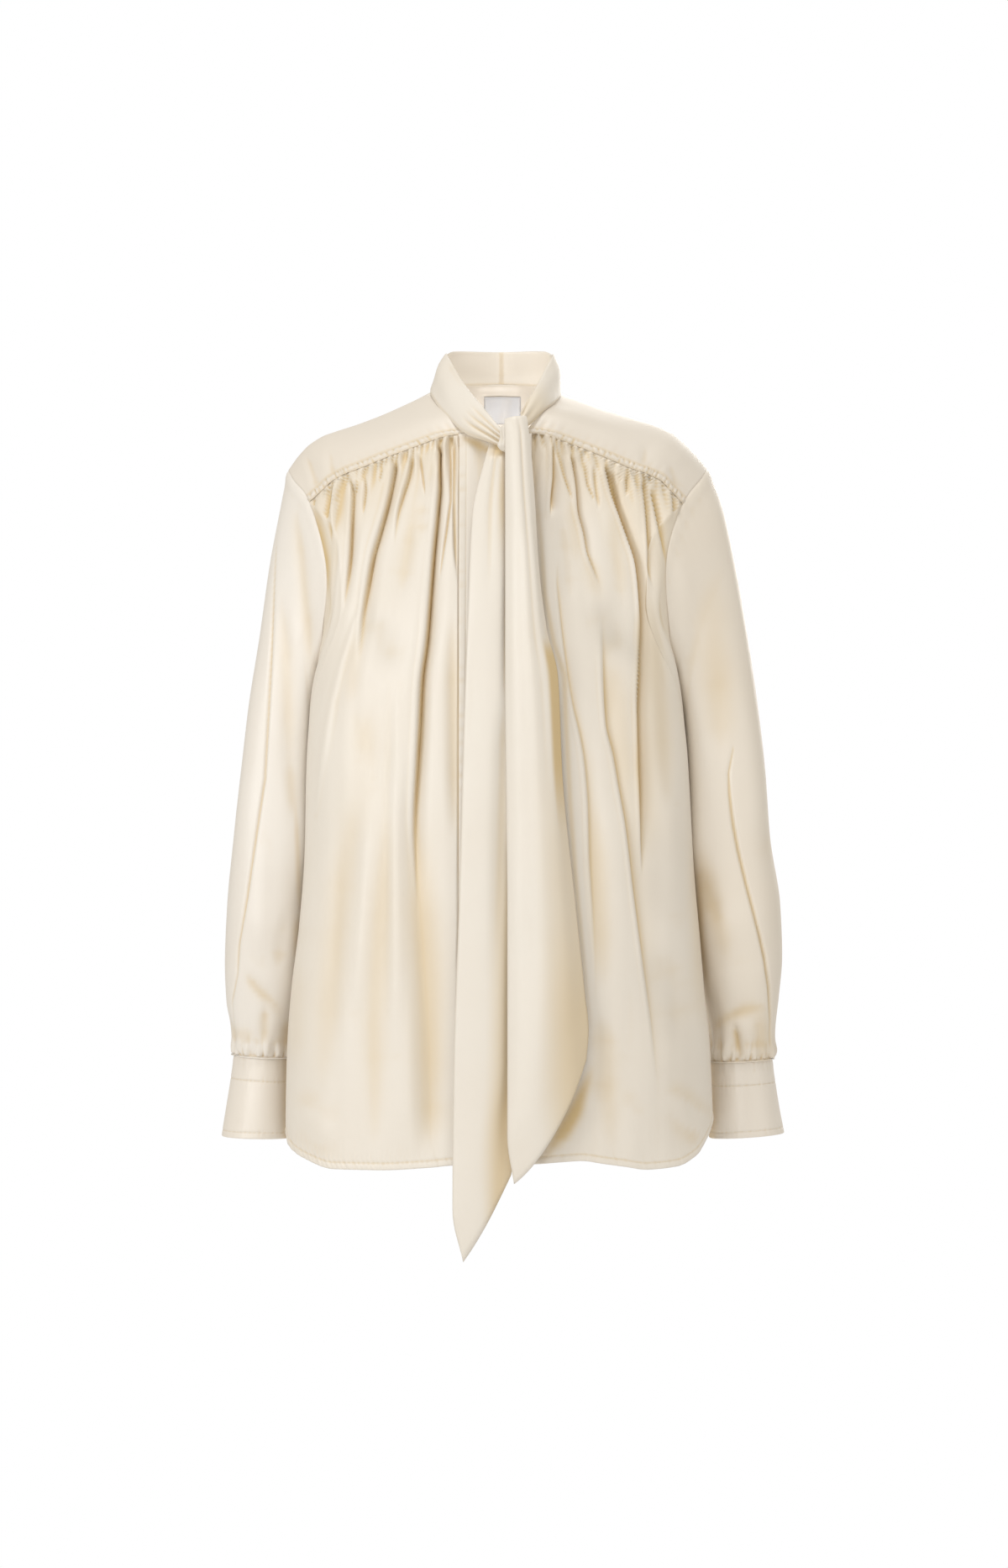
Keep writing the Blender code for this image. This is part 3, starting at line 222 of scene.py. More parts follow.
lifts = (("v", "seamRight", "seamLeft", "shoulderRight", "shoulderLeft", "back", "chest"), [
    (0, 0, 0, 0, 0, 0, 0), (0.15, 5.5, 5.5, 1.5, 4, -5, 3), (0.3, 7, 7.5, 3.5, 7, -4, 5),
    (0.5, 9, 9.5, 8, 12.5, 0, 6.5), (0.67, 10, 10.5, 13, 16.5, 3, 6.5), (0.76, 11, 12.5, 15, 17, 4, 6),
    (0.84, 10, 12.5, 14, 13.5, 4, 4.5), (0.92, 5, 7, 9, 7.5, 3, 2.5), (1, 0, 0, 0, 0, 0, 0)])
backMiddle = np.array([0.0, 94.0, -116.0])


def armhole(side, turn):
    return ring(armholes[side], turn)


def backSeam(side, share):
    # The yoke's lower edge at the back: share 0 at the armhole, 1 at the centre.
    notch = armhole(side, np.array(notchBack))
    share = np.asarray(share, float)
    p = notch + (backMiddle - notch) * share[..., None]
    p[..., 1] = notch[1] + (backMiddle[1] - notch[1]) * np.sin(share * math.pi / 2) ** 0.9
    return p


def yokePoint(side, u, v):
    # u runs from the front seam (0) to the centre back (1), v from neck to edge.
    table = yokeSpokes[side]
    near = columns(table, ("x", "y", "z"), u)
    far = column(table, "far", u)
    share = np.clip((notchBack - far) / backSpan, 0, 1)
    end = np.where((far >= notchBack - 1e-3)[..., None], armhole(side, far), backSeam(side, share))
    seam, back = column(table, "front", u), column(table, "back", u)
    over, name = np.clip(1 - seam - back, 0, 1), sideNames[side]
    p = near + (end - near) * v[..., None]
    p[..., 2] += (seam * column(lifts, "seam" + name, v) + over * column(lifts, "shoulder" + name, v)
                  + back * column(lifts, "back", v))
    p[..., 1] += column(lifts, "chest", v) * (1.7 * back - seam - 0.3 * over)
    return p


def frontSeam(side, share):
    return yokePoint(side, 0.0 * share, share)


# how the fronts and the back hang from the yoke and the armholes

hang = {"clear": 0.035, "spread": 0.16, "settle": 40.0, "ease": 4.2, "armLow": 205, "armEnd": 330,
        "halfFront": 285.0, "hemZ": -730.0, "seamShareFront": 0.80, "seamShareBack": 0.72}
edges = {right: {"x": -33.0, "tuck": 0.06}, left: {"x": -6.0, "tuck": 0.13}}  # beside the placket
gatherShare = {True: 46 / 57.0, False: 23 / 34.0}  # share of the front's and the back's columns on the yoke
# the lower edge, x and z
hemFront = [(-202, -706), (-199, -715), (-184, -726), (-154, -735), (-115, -735), (-64, -732),
            (-44, -730), (29, -729), (56, -727), (76, -726), (97, -729), (117, -732), (137, -735),
            (165, -733), (184, -724), (197, -705), (203, -690)]
hemBack = [(-203, -700), (-190, -722), (-150, -740), (-80, -746), (0, -742), (40, -739),
           (80, -739), (112, -743), (150, -741), (190, -718), (203, -688)]
armShares = np.linspace(0, 1, 24)


def hanging(side, top, shares, low, v, front):
    # The cloth starts at the seam, settles on the body beside it and spreads below the arm.
    start, beside, final = shares
    z = top[..., 2] + (low - top[..., 2]) * v
    drop, dropTop = [step(hang["armLow"], hang["armEnd"], -height) for height in (z, top[..., 2])]
    below = np.clip((drop - dropTop) / np.maximum(1 - dropTop, 1e-6), 0, 1)
    near = 1 - (1 - np.clip((top[..., 2] - z) / hang["settle"], 0, 1)) ** 2.4
    share = start + (beside - start) * near
    share = share + (final - share) * below
    p = bodyRound(side, share, z, front)
    first = bodyRound(side, start, top[..., 2], front)
    p[..., :2] += (top - first)[..., :2] * ((1 - v) ** hang["ease"])[..., None]
    return p


def columnShares(side, first, last, onYoke, onArm, front):
    # Shares of every column at the seam, just below it and at the hem.
    notch = notchFront if front else notchBack
    turns = notch + ((180 if front else -180) - notch) * armShares
    found = shareAt(armhole(side, turns), front)
    found = found + (1 - found[-1]) * armShares ** 6
    later = armShares[None, :] - armShares[:, None]
    held = np.min(np.where(later >= 0, found - hang["spread"] * later, 9.0), axis=1)
    held = held - hang["clear"] * (1 - armShares ** 4)
    start, beside = [np.where(onArm > 0, np.interp(onArm, armShares, way),
                              first + (way[0] - first) * onYoke) for way in (found, held)]
    return start, beside, first + (last - first) * onYoke + (1 - last) * onArm


def frontPoint(side, u, v):
    onYoke = np.clip(u / gatherShare[True], 0, 1)
    onArm = np.clip((u - gatherShare[True]) / (1 - gatherShare[True]), 0, 1)
    arm = armhole(side, notchFront + (180 - notchFront) * onArm)
    top = np.where((onArm <= 0)[..., None], frontSeam(side, onYoke), arm)
    edge = edges[side]["x"]
    first = side * edge / hang["halfFront"]
    corner = frontSeam(side, np.zeros(1))[0]
    firstTop = corner + np.array([-2.7, 0.0, -1.0])
    if side == left:
        firstTop = np.array([edge, -71.0, -50.0])
    under = np.clip(1 - onYoke / edges[side]["tuck"], 0, 1)
    top = top + under[..., None] * (firstTop - corner)
    shares = columnShares(side, first, hang["seamShareFront"], onYoke, onArm, True)
    foot = bodyRound(side, shares[2], np.full_like(u, hang["hemZ"]))
    p = hanging(side, top, shares, track(foot[..., 0], *hemFront), v, True)
    if side == right:
        hold = 1 - step(0, 0.045, onYoke)
        p[..., 0] += (edge - p[..., 0]) * hold * step(0, 0.02, v)
    return p


def backPoint(u, v):
    # u runs from the right side seam round the back to the left one.
    w = np.abs(1 - 2 * u)
    onYoke = np.clip(w / gatherShare[False], 0, 1)
    onArm = np.clip((w - gatherShare[False]) / (1 - gatherShare[False]), 0, 1)
    out = np.zeros(u.shape + (3,))
    for side in (right, left):
        arm = armhole(side, notchBack - (180 + notchBack) * onArm)
        top = np.where((onArm <= 0)[..., None], backSeam(side, 1 - onYoke), arm)
        shares = columnShares(side, 0.0, hang["seamShareBack"], onYoke, onArm, False)
        foot = bodyRound(side, shares[2], np.full_like(u, hang["hemZ"]), front=False)
        p = hanging(side, top, shares, track(foot[..., 0], *hemBack), v, False)
        out = np.where(((u < 0.5) == (side == right))[..., None], p, out)
    return out


# sheets of points to shells of cloth

def normalsOf(grid, closed=False):
    # Unit normals of a grid of points (rows, columns).
    if closed:
        across = np.roll(grid, -1, 1) - np.roll(grid, 1, 1)
    else:
        across = np.gradient(grid, axis=1)
    return unit(np.cross(across, np.gradient(grid, axis=0)))


def facing(normal, toward):
    # -1 where the normals look away from `toward` on the whole.
    return -1.0 if np.sum(normal * toward) < 0 else 1.0


def outward(grid, toward, closed=False):
    # Unit normals that look the way of `toward` on the whole.
    normal = normalsOf(grid, closed)
    return normal * facing(normal, toward)


def fromAxis(grid):
    # The level way out from the body's upright middle line.
    return grid * np.array([1.0, 1.0, 0.0])


def fromMiddle(grid):
    # The way out from the middle of every ring.
    return grid - grid.mean(axis=1, keepdims=True)


def running(grid, axis=0):
    # Length in mm along the cloth from the first row, or with axis 1 from the first column.
    along = np.linalg.norm(np.diff(grid, axis=axis), axis=-1)
    return np.concatenate([np.zeros_like(np.take(along, [0], axis)), np.cumsum(along, axis)], axis)


def fromFoot(grid):
    # The same from the last row.
    return running(grid[::-1])[::-1]


def blurred(grid, reach, closed):
    # The grid averaged over about `reach` mm either way, rows and columns.
    for axis in (0, 1):
        gap = np.linalg.norm(np.diff(grid, axis=axis), axis=-1).mean()
        k = int(np.clip(round(reach / gap), 1, grid.shape[axis] // 4))
        for _ in range(2):
            pad = [(0, 0)] * 3
            pad[axis] = (k + 1, k)
            wide = np.pad(grid, pad, mode="wrap" if closed and axis == 1 else "edge")
            total = np.cumsum(wide, axis=axis)
            n = grid.shape[axis]
            grid = (np.take(total, range(2 * k + 1, 2 * k + 1 + n), axis)
                    - np.take(total, range(n), axis)) / (2 * k + 1)
    return grid


creases = ((1.6, 0.9), (6.0, 3.2))  # fine and broad: mm averaged over, and the depth of a full crease


def creaseShadeOf(grid, normal, closed):
    # Painted crease shade: 0 on ridges and flats to 1 in creases, fine ones and broad ones together.
    total = 0.0
    for reach, deep in creases:
        below = np.sum((blurred(grid, reach, closed) - grid) * normal, -1)
        total = total + np.maximum(below, 0) / deep
    total[:3], total[-3:] = total[3], total[-4]
    if not closed:
        total[:, :3], total[:, -3:] = total[:, 3:4], total[:, -4:-3]
    return 1 - np.exp(-total)


def shellFaces(rows, cols, closed, sign):
    # Quads of the outer face, the inner face and the rims between the two.
    count = rows * cols
    at = np.arange(count).reshape(rows, cols)
    wrap = np.concatenate([at, at[:, :1]], 1) if closed else at
    a, b = wrap[:-1, :-1].ravel(), wrap[:-1, 1:].ravel()
    c, d = wrap[1:, 1:].ravel(), wrap[1:, :-1].ravel()
    outer = np.stack([a, b, c, d], 1)
    quads = [outer if sign > 0 else outer[:, ::-1]]
    quads.append(quads[0][:, ::-1] + count)
    borders = [wrap[0], wrap[-1][::-1]]
    if not closed:
        borders += [at[::-1, 0], at[:, -1]]
    for line in borders:
        e = np.stack([line[1:], line[:-1], line[:-1] + count, line[1:] + count], 1)
        quads.append(e if sign > 0 else e[:, ::-1])
    return np.concatenate(quads)


def grown(values, rows):
    # Values of the rows that show, carried on to the rows tucked under at the top and the foot.
    extra = rows - len(values)
    return np.pad(values, ((min(extra, 3), extra - min(extra, 3)), (0, 0)), mode="edge")


def carry(mesh, name, values):
    # An attribute of the points, for the silk.
    layer = mesh.attributes.new(name, "FLOAT", "POINT")
    layer.data.foreach_set("value", values.astype(np.float32))


def shell(name, grid, wall, toward, material, closed=False, soften=0.0, shade=None, dentShade=None):
    # A cloth shell whose outer face is `grid`, `wall` mm thick. `soften` rounds its rims.
    rows, cols = grid.shape[:2]
    normal = normalsOf(grid, closed)
    sign = facing(normal, toward)
    normal = normal * sign
    # painted shade: dark in the creases, with the painted shades given laid over it
    paintedShade, within = creaseShadeOf(grid, normal, closed), np.zeros((rows, cols))
    if shade is not None:
        within = np.clip(grown(shade, rows), 0, 0.97)
        paintedShade = both(paintedShade, within)
    thick = np.full((rows, cols), float(wall))
    if soften:
        down, over = running(grid), running(grid, 1)
        edge = np.minimum(down, down[-1] - down)
        if not closed:
            edge = np.minimum(edge, np.minimum(over, over[:, -1:] - over))
        rounded = np.sqrt(1 - (1 - np.clip(edge / soften, 0, 1)) ** 2)
        grid = grid - normal * (wall * 0.5 * (1 - rounded))[..., None]
        thick = wall * np.maximum(rounded, 0.12)
    inner = grid - normal * thick[..., None]
    points = np.concatenate([grid.reshape(-1, 3), inner.reshape(-1, 3)]) * mm
    # lengths along the cloth, in metres, are the UV map
    u, v = np.meshgrid(running(grid, 1).mean(0) * mm, running(grid).mean(1) * mm)
    flat = np.tile(np.stack([u.ravel(), v.ravel()], 1), (2, 1))
    mesh = meshFrom(name, points, shellFaces(rows, cols, closed, sign), flat)
    # painted shade: the outer face carries the shade of its creases and the painted shades given,
    # the inner face the painted shades alone
    carry(mesh, "paintedShade", np.concatenate([paintedShade.ravel(), within.ravel()]))
    if dentShade is not None:
        carry(mesh, "dentShade", np.tile(grown(dentShade, rows).ravel(), 2))
    return place(name + "Cloth", mesh, material)


def meshFrom(name, points, faces, flat=None):
    mesh = bpy.data.meshes.new(name)
    mesh.vertices.add(len(points))
    mesh.vertices.foreach_set("co", np.ascontiguousarray(points, dtype=np.float32).ravel())
    mesh.loops.add(faces.size)
    mesh.loops.foreach_set("vertex_index", faces.astype(np.int32).ravel())
    mesh.polygons.add(len(faces))
    mesh.polygons.foreach_set("loop_start", np.arange(0, faces.size, faces.shape[1], dtype=np.int32))
    mesh.polygons.foreach_set("loop_total", np.full(len(faces), faces.shape[1], dtype=np.int32))
    mesh.polygons.foreach_set("use_smooth", np.ones(len(faces), dtype=bool))
    if flat is not None:
        layer = mesh.uv_layers.new(name="cloth")
        layer.data.foreach_set("uv", flat[faces.ravel()].astype(np.float32).ravel())
    mesh.update(calc_edges=True)
    mesh.validate()
    return mesh


def place(name, mesh, material):
    # A finished piece in the scene.
    item = bpy.data.objects.new(name, mesh)
    bpy.context.collection.objects.link(item)
    mesh.materials.clear()
    mesh.materials.append(material)
    print("made", name, len(mesh.polygons), flush=True)
    return item


def readGrid(grid, row, col, out=None, lift=0.0):
    # Points on a grid at fractional rows and columns, moved out by `lift` mm.
    row, col = np.broadcast_arrays(np.asarray(row, float), np.asarray(col, float))
    r0 = np.clip(np.floor(row).astype(int), 0, grid.shape[0] - 2)
    c0 = np.clip(np.floor(col).astype(int), 0, grid.shape[1] - 2)
    a, b = (row - r0)[..., None], (col - c0)[..., None]

    def mix(g):
        return ((1 - a) * ((1 - b) * g[r0, c0] + b * g[r0, c0 + 1])
                + a * ((1 - b) * g[r0 + 1, c0] + b * g[r0 + 1, c0 + 1]))

    p = mix(grid)
    return p + unit(mix(out)) * lift if lift else p


# folds laid one by one

def fold(near, far, depth, *path, **more):
    # A fold along points of x and z from its top down. `near` is the width of its steep side and `far`
    # of the other, which grows by `grow`. It fades in over `start` mm and out from the share `end` on.
    # `rise` lifts its edge, `over` rolls the edge over the valley, `shade` is the painted shade in the
    # valley, and `soft` widens it.
    usual = {"start": 6.0, "end": 0.7, "grow": 0.5, "over": 0.0, "soft": 0.33,
             "rise": 0.3 * depth, "shade": 0.05 * depth}
    return {"near": near, "far": far, "depth": depth, "path": path, **usual, **more}


def foldField(folds, x, z):
    # Height in mm along the normal, the shift that rolls the edge over, and the painted shade in the
    # valley.
    high, shift, shade = 0.0 * x, 0.0 * x, 0.0 * x
    for f in folds:
        near, top, low = f["near"], f["path"][0][1], f["path"][-1][1]
        t = (z - top) / (low - top)
        d = x - track(z, *[(b, a) for a, b in f["path"]])
        far = f["far"] * (1 + f["grow"] * np.clip(t, 0, 1))
        fade = step(-f["start"], f["start"], top - z) * fall(f["end"], 1.05, t)
        valley = np.where(d < 0, np.exp(-(d / near) ** 2), np.exp(-np.abs(d / far) ** 1.3))
        high = high - f["depth"] * fade * valley
        wide = max(1.9, near)
        lip = 0.6 * bell(d + 1.7 * wide, wide) + 0.8 * bell(d + 9 + near, 8 + near)
        high = high + f["rise"] * fade * lip
        shift = shift + f["over"] * fade * bell(d + 1.5, 2.4)
        dark = np.where(d < -0.4, bell(d + 0.4, 0.9), np.exp(-np.maximum(d, 0) / (f["soft"] * far)))
        shade = np.maximum(shade, f["shade"] * fade * dark)
    return high, shift, shade


def strokes(lines, x, z, tone=0.0):
    # Troughs that fade out at both ends: each a depth, a width and points of x and z. A depth below
    # nought makes a ridge. `tone` is the painted shade of a trough one mm deep.
    high, shade = 0.0 * x, 0.0 * x
    for depth, wide, *pts in lines:
        best, at, run = np.full(np.shape(x), 1e9), 0.0 * x, 0.0
        spans = [math.dist(a, b) for a, b in zip(pts, pts[1:])]
        for (x0, z0), (x1, z1), span in zip(pts, pts[1:], spans):
            t = np.clip(((x - x0) * (x1 - x0) + (z - z0) * (z1 - z0)) / span ** 2, 0, 1)
            d = np.hypot(x - x0 - t * (x1 - x0), z - z0 - t * (z1 - z0))
            at = np.where(d < best, (run + t * span) / sum(spans), at)
            best = np.minimum(best, d)
            run += span
        ends = 1 - (1 - np.clip(4.4 * at * (1 - at) + 0.12, 0, 1)) * min(1, sum(spans) / (6 * wide)) ** 2
        soft = bell(best, wide * (0.6 + 0.4 * ends)) * ends ** 0.9
        high = high - depth * soft
        dark = tone * max(depth, 0) * soft * (1 if wide < 3 or tone > 0.06 else 0.35)
        shade = both(shade, np.clip(dark, 0, 1))
    return high, shade


def tucked(grid, out, length, sink, rows=3, below=False):
    # The cloth goes on for `length` mm beyond its first (or last) row, underneath.
    if below:
        return tucked(grid[::-1], out[::-1], length, sink, rows)[::-1]
    way = unit(grid[0] - grid[2])
    t = (np.arange(rows, 0, -1) / rows)[:, None, None]
    more = grid[0] + way * length * t - out[0] * sink * np.sqrt(t)
    return np.concatenate([more, grid])


# materials

# colours that the painted shade is mixed towards: gold in creases, grey in shallow dents
creaseShadeGold, dentShadeGrey = (0.62, 0.445, 0.19), (0.46, 0.41, 0.335)
warpScale, weaveScale = (1500.0, 40.0, 1.0), (5200.0, 1700.0, 1.0)  # noise cells a metre of cloth


def satin(name, tone, deep, rough=0.46):
    # Silk satin: cloudy tone, streaks along the warp, a fine weave and a broad shine.
    silk = bpy.data.materials.new(name)
    silk.use_nodes = True
    tree = silk.node_tree
    link, node = tree.links.new, tree.nodes.new
    look = tree.nodes["Principled BSDF"]
    uv, spot = node("ShaderNodeUVMap"), node("ShaderNodeTexCoord")
    uv.uv_map = "cloth"

    def noise(vector, scale, detail=3.0):
        cells = node("ShaderNodeTexNoise")
        cells.inputs["Scale"].default_value = scale
        cells.inputs["Detail"].default_value = detail
        link(vector, cells.inputs["Vector"])
        return cells.outputs["Fac"]

    def stretched(scale):
        turn = node("ShaderNodeMapping")
        turn.inputs["Scale"].default_value = scale
        link(uv.outputs["UV"], turn.inputs["Vector"])
        return turn.outputs["Vector"]

    def spread(value, low, high, start=0.3, end=0.7):
        ramp = node("ShaderNodeMapRange")
        for key, number in (("From Min", start), ("From Max", end), ("To Min", low), ("To Max", high)):
            ramp.inputs[key].default_value = number
        link(value, ramp.inputs["Value"])
        return ramp.outputs["Result"]

    def toned(factor, under, colour):
        blend = node("ShaderNodeMix")
        blend.data_type = "RGBA"
        link(factor, blend.inputs[0])
        if isinstance(under, tuple):
            blend.inputs[6].default_value = (*under, 1.0)
        else:
            link(under, blend.inputs[6])
        blend.inputs[7].default_value = (*colour, 1.0)
        return blend.outputs[2]

    def carried(attribute):
        reader = node("ShaderNodeAttribute")
        reader.attribute_name = attribute
        return reader.outputs["Fac"]

    def bumped(height, strength, distance, below=None):
        bump = node("ShaderNodeBump")
        bump.inputs["Strength"].default_value = strength
        bump.inputs["Distance"].default_value = distance
        link(height, bump.inputs["Height"])
        if below:
            link(below, bump.inputs["Normal"])
        return bump.outputs["Normal"]

    warp = noise(stretched(warpScale), 1.0)
    cloud = noise(spot.outputs["Object"], 9.0, 4.0)
    mixed = node("ShaderNodeMath")
    mixed.operation = "MULTIPLY_ADD"
    mixed.inputs[1].default_value = 0.4
    link(warp, mixed.inputs[0])
    link(spread(cloud, 0.0, 0.8), mixed.inputs[2])
    colour = toned(mixed.outputs[0], deep, tone)
    # painted shade: creases and painted shades are mixed towards a deeper gold, standing in for the light
    # that comes to them through the silk
    colour = toned(carried("paintedShade"), colour, creaseShadeGold)
    # painted shade: shallow dents are only a little duller, in grey
    colour = toned(carried("dentShade"), colour, dentShadeGrey)
    link(colour, look.inputs["Base Color"])
    link(spread(warp, rough - 0.05, rough + 0.06), look.inputs["Roughness"])
    look.inputs["Specular IOR Level"].default_value = 0.9
    look.inputs["IOR"].default_value = 1.6
    low = bumped(noise(spot.outputs["Object"], 45.0), 0.3, 0.0008)
    fine = bumped(noise(stretched(weaveScale), 1.0, 1.0), 0.2, 0.00012, low)
    link(fine, look.inputs["Normal"])
    return silk


# the right sleeve is a lighter and the left sleeve a darker copy of one satin: painted light on the side
# the key lamp lights, painted shade on the side away from it
tones = {"body": ((0.77, 0.717, 0.64), (0.75, 0.687, 0.60)),
         "yoke": ((0.74, 0.68, 0.60), (0.715, 0.65, 0.565)),
         "sleeveRight": ((0.81, 0.765, 0.705), (0.785, 0.73, 0.66)),
         "sleeveLeft": ((0.775, 0.71, 0.62), (0.755, 0.68, 0.58)),
         "cuff": ((0.79, 0.73, 0.655), (0.765, 0.70, 0.615)),
         "tie": ((0.76, 0.71, 0.635), (0.74, 0.68, 0.595))}
cloths = {key: satin("satin_" + key, *pair) for key, pair in tones.items()}
cloths["label"] = satin("label_cloth", (0.57, 0.58, 0.62), (0.55, 0.56, 0.60), rough=0.5)
thread = satin("thread", (0.80, 0.72, 0.58), (0.74, 0.65, 0.50), rough=0.55)


# stitches along a line of points, made by Geometry Nodes

def stitchTree():
    tree = bpy.data.node_groups.new("stitches", "GeometryNodeTree")
    face, node = tree.interface, tree.nodes.new
    face.new_socket("Line", in_out="INPUT", socket_type="NodeSocketGeometry")
    for label, value in (("Pitch", 0.0024), ("Length", 0.0017), ("Radius", 0.00022)):
        face.new_socket(label, in_out="INPUT", socket_type="NodeSocketFloat").default_value = value
    face.new_socket("Thread", in_out="INPUT", socket_type="NodeSocketMaterial")
    face.new_socket("Stitches", in_out="OUTPUT", socket_type="NodeSocketGeometry")
    given, out = node("NodeGroupInput"), node("NodeGroupOutput")
    curve, even = node("GeometryNodeMeshToCurve"), node("GeometryNodeResampleCurve")
    even.mode = "LENGTH"
    points = node("GeometryNodeCurveToPoints")
    points.mode = "EVALUATED"
    bead = node("GeometryNodeMeshIcoSphere")
    bead.inputs["Subdivisions"].default_value = 1
    bead.inputs["Radius"].default_value = 1.0
    size, half = node("ShaderNodeCombineXYZ"), node("ShaderNodeMath")
    half.operation = "MULTIPLY"
    half.inputs[1].default_value = 0.5
    put, real = node("GeometryNodeInstanceOnPoints"), node("GeometryNodeRealizeInstances")
    smooth, paint = node("GeometryNodeSetShadeSmooth"), node("GeometryNodeSetMaterial")
    # a line of points is parted evenly, and a bead drawn out along the line stands at every part
    for a, plug, b, socket in (
            (given, "Line", curve, "Mesh"), (curve, "Curve", even, "Curve"),
            (given, "Pitch", even, "Length"), (even, "Curve", points, "Curve"),
            (given, "Length", half, 0), (given, "Radius", size, "X"), (given, "Radius", size, "Y"),
            (half, 0, size, "Z"), (points, "Points", put, "Points"), (bead, "Mesh", put, "Instance"),
            (points, "Rotation", put, "Rotation"), (size, "Vector", put, "Scale"),
            (put, "Instances", real, "Geometry"), (real, "Geometry", smooth, "Geometry"),
            (smooth, "Geometry", paint, "Geometry"), (given, "Thread", paint, "Material"),
            (paint, "Geometry", out, "Stitches")):
        tree.links.new(a.outputs[plug], b.inputs[socket])
    return tree


stitching = stitchTree()


def stitch(name, lines, pitch=2.4, length=1.75, radius=0.2):
    # One piece of stitches along several lines of points, with its sizes in mm.
    points = np.concatenate(lines) * mm
    edges, start = [], 0
    for line in lines:
        edges += [(start + i, start + i + 1) for i in range(len(line) - 1)]
        start += len(line)
    mesh = bpy.data.meshes.new(name + "_path")
    mesh.from_pydata(points.tolist(), edges, [])
    item = bpy.data.objects.new(name, mesh)
    bpy.context.collection.objects.link(item)
    work = item.modifiers.new("stitches", "NODES")
    work.node_group = stitching
    keys = {s.name: s.identifier for s in stitching.interface.items_tree if s.in_out == "INPUT"}
    for label, value in (("Pitch", pitch), ("Length", length), ("Radius", radius)):
        work[keys[label]] = value * mm
    work[keys["Thread"]] = thread
    depsgraph = bpy.context.evaluated_depsgraph_get()
    done = bpy.data.meshes.new_from_object(item.evaluated_get(depsgraph))
    item.modifiers.clear()
    item.data = done
    bpy.data.meshes.remove(mesh)
    if not done.materials:
        done.materials.append(thread)
    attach(item, "root")
    print("made", name, len(done.polygons), flush=True)
    return item


def asSheet(item, node, **cut):
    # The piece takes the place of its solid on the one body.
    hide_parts(node)
    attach(item, "root")


# gathers

def gathers(s, d, places, seed, deep=3.4, wide=0.95, reach=9.0, longer=7.0, often=0.24, wrap=0.0):
    # `s` is the place along the seam and `d` the drop from it in mm. Each gather has a valley of its
    # own depth, width, length and drift, and a share of them, `often`, run on as longer folds.
    pick = np.random.default_rng(seed)
    d = np.maximum(d, 0)
    total = 0.0 * s
    for spot in places:
        depth, width = deep * pick.uniform(0.5, 1.2), wide * pick.uniform(0.75, 1.35)
        length, drift = reach * math.exp(pick.uniform(-0.6, 0.7)), pick.uniform(-0.14, 0.14)
        lean, bend = pick.choice([-1.0, 1.0]), pick.uniform(-3, 3)
        if pick.uniform() < often:
            length, width, depth = length * longer * pick.uniform(0.6, 1.3), width * 1.35, depth * 1.25
        off = s - spot - drift * np.minimum(d, 60) - bend * np.sin(np.minimum(d, 120) / 40.0)
        if wrap:
            off = np.mod(off + wrap / 2, wrap) - wrap / 2
        t = d / length
        side = width * (1 + 0.055 * d)
        near = side * np.where(off * lean < 0, 1.0, 2.2)
        fade = step(-0.6, 1.6, d) * np.exp(-t ** 1.5)
        sharp = np.exp(-np.abs(off / near) ** (1.35 + 0.5 * np.minimum(t, 1)))
        total = total - depth * fade * sharp
        total = total + 0.5 * depth * fade * (bell(off + lean * side * 2.6, side * 1.6)
                                              + bell(off - lean * side * 4.0, side * 2.0))
    return total


def uneven(start, end, count, seed, jitter=0.3):
    # Places from start to end at uneven gaps.
    pick = np.random.default_rng(seed)
    gap = (end - start) / count
    return [start + gap * (i + 0.5 + pick.uniform(-jitter, jitter)) for i in range(count)]


# fronts

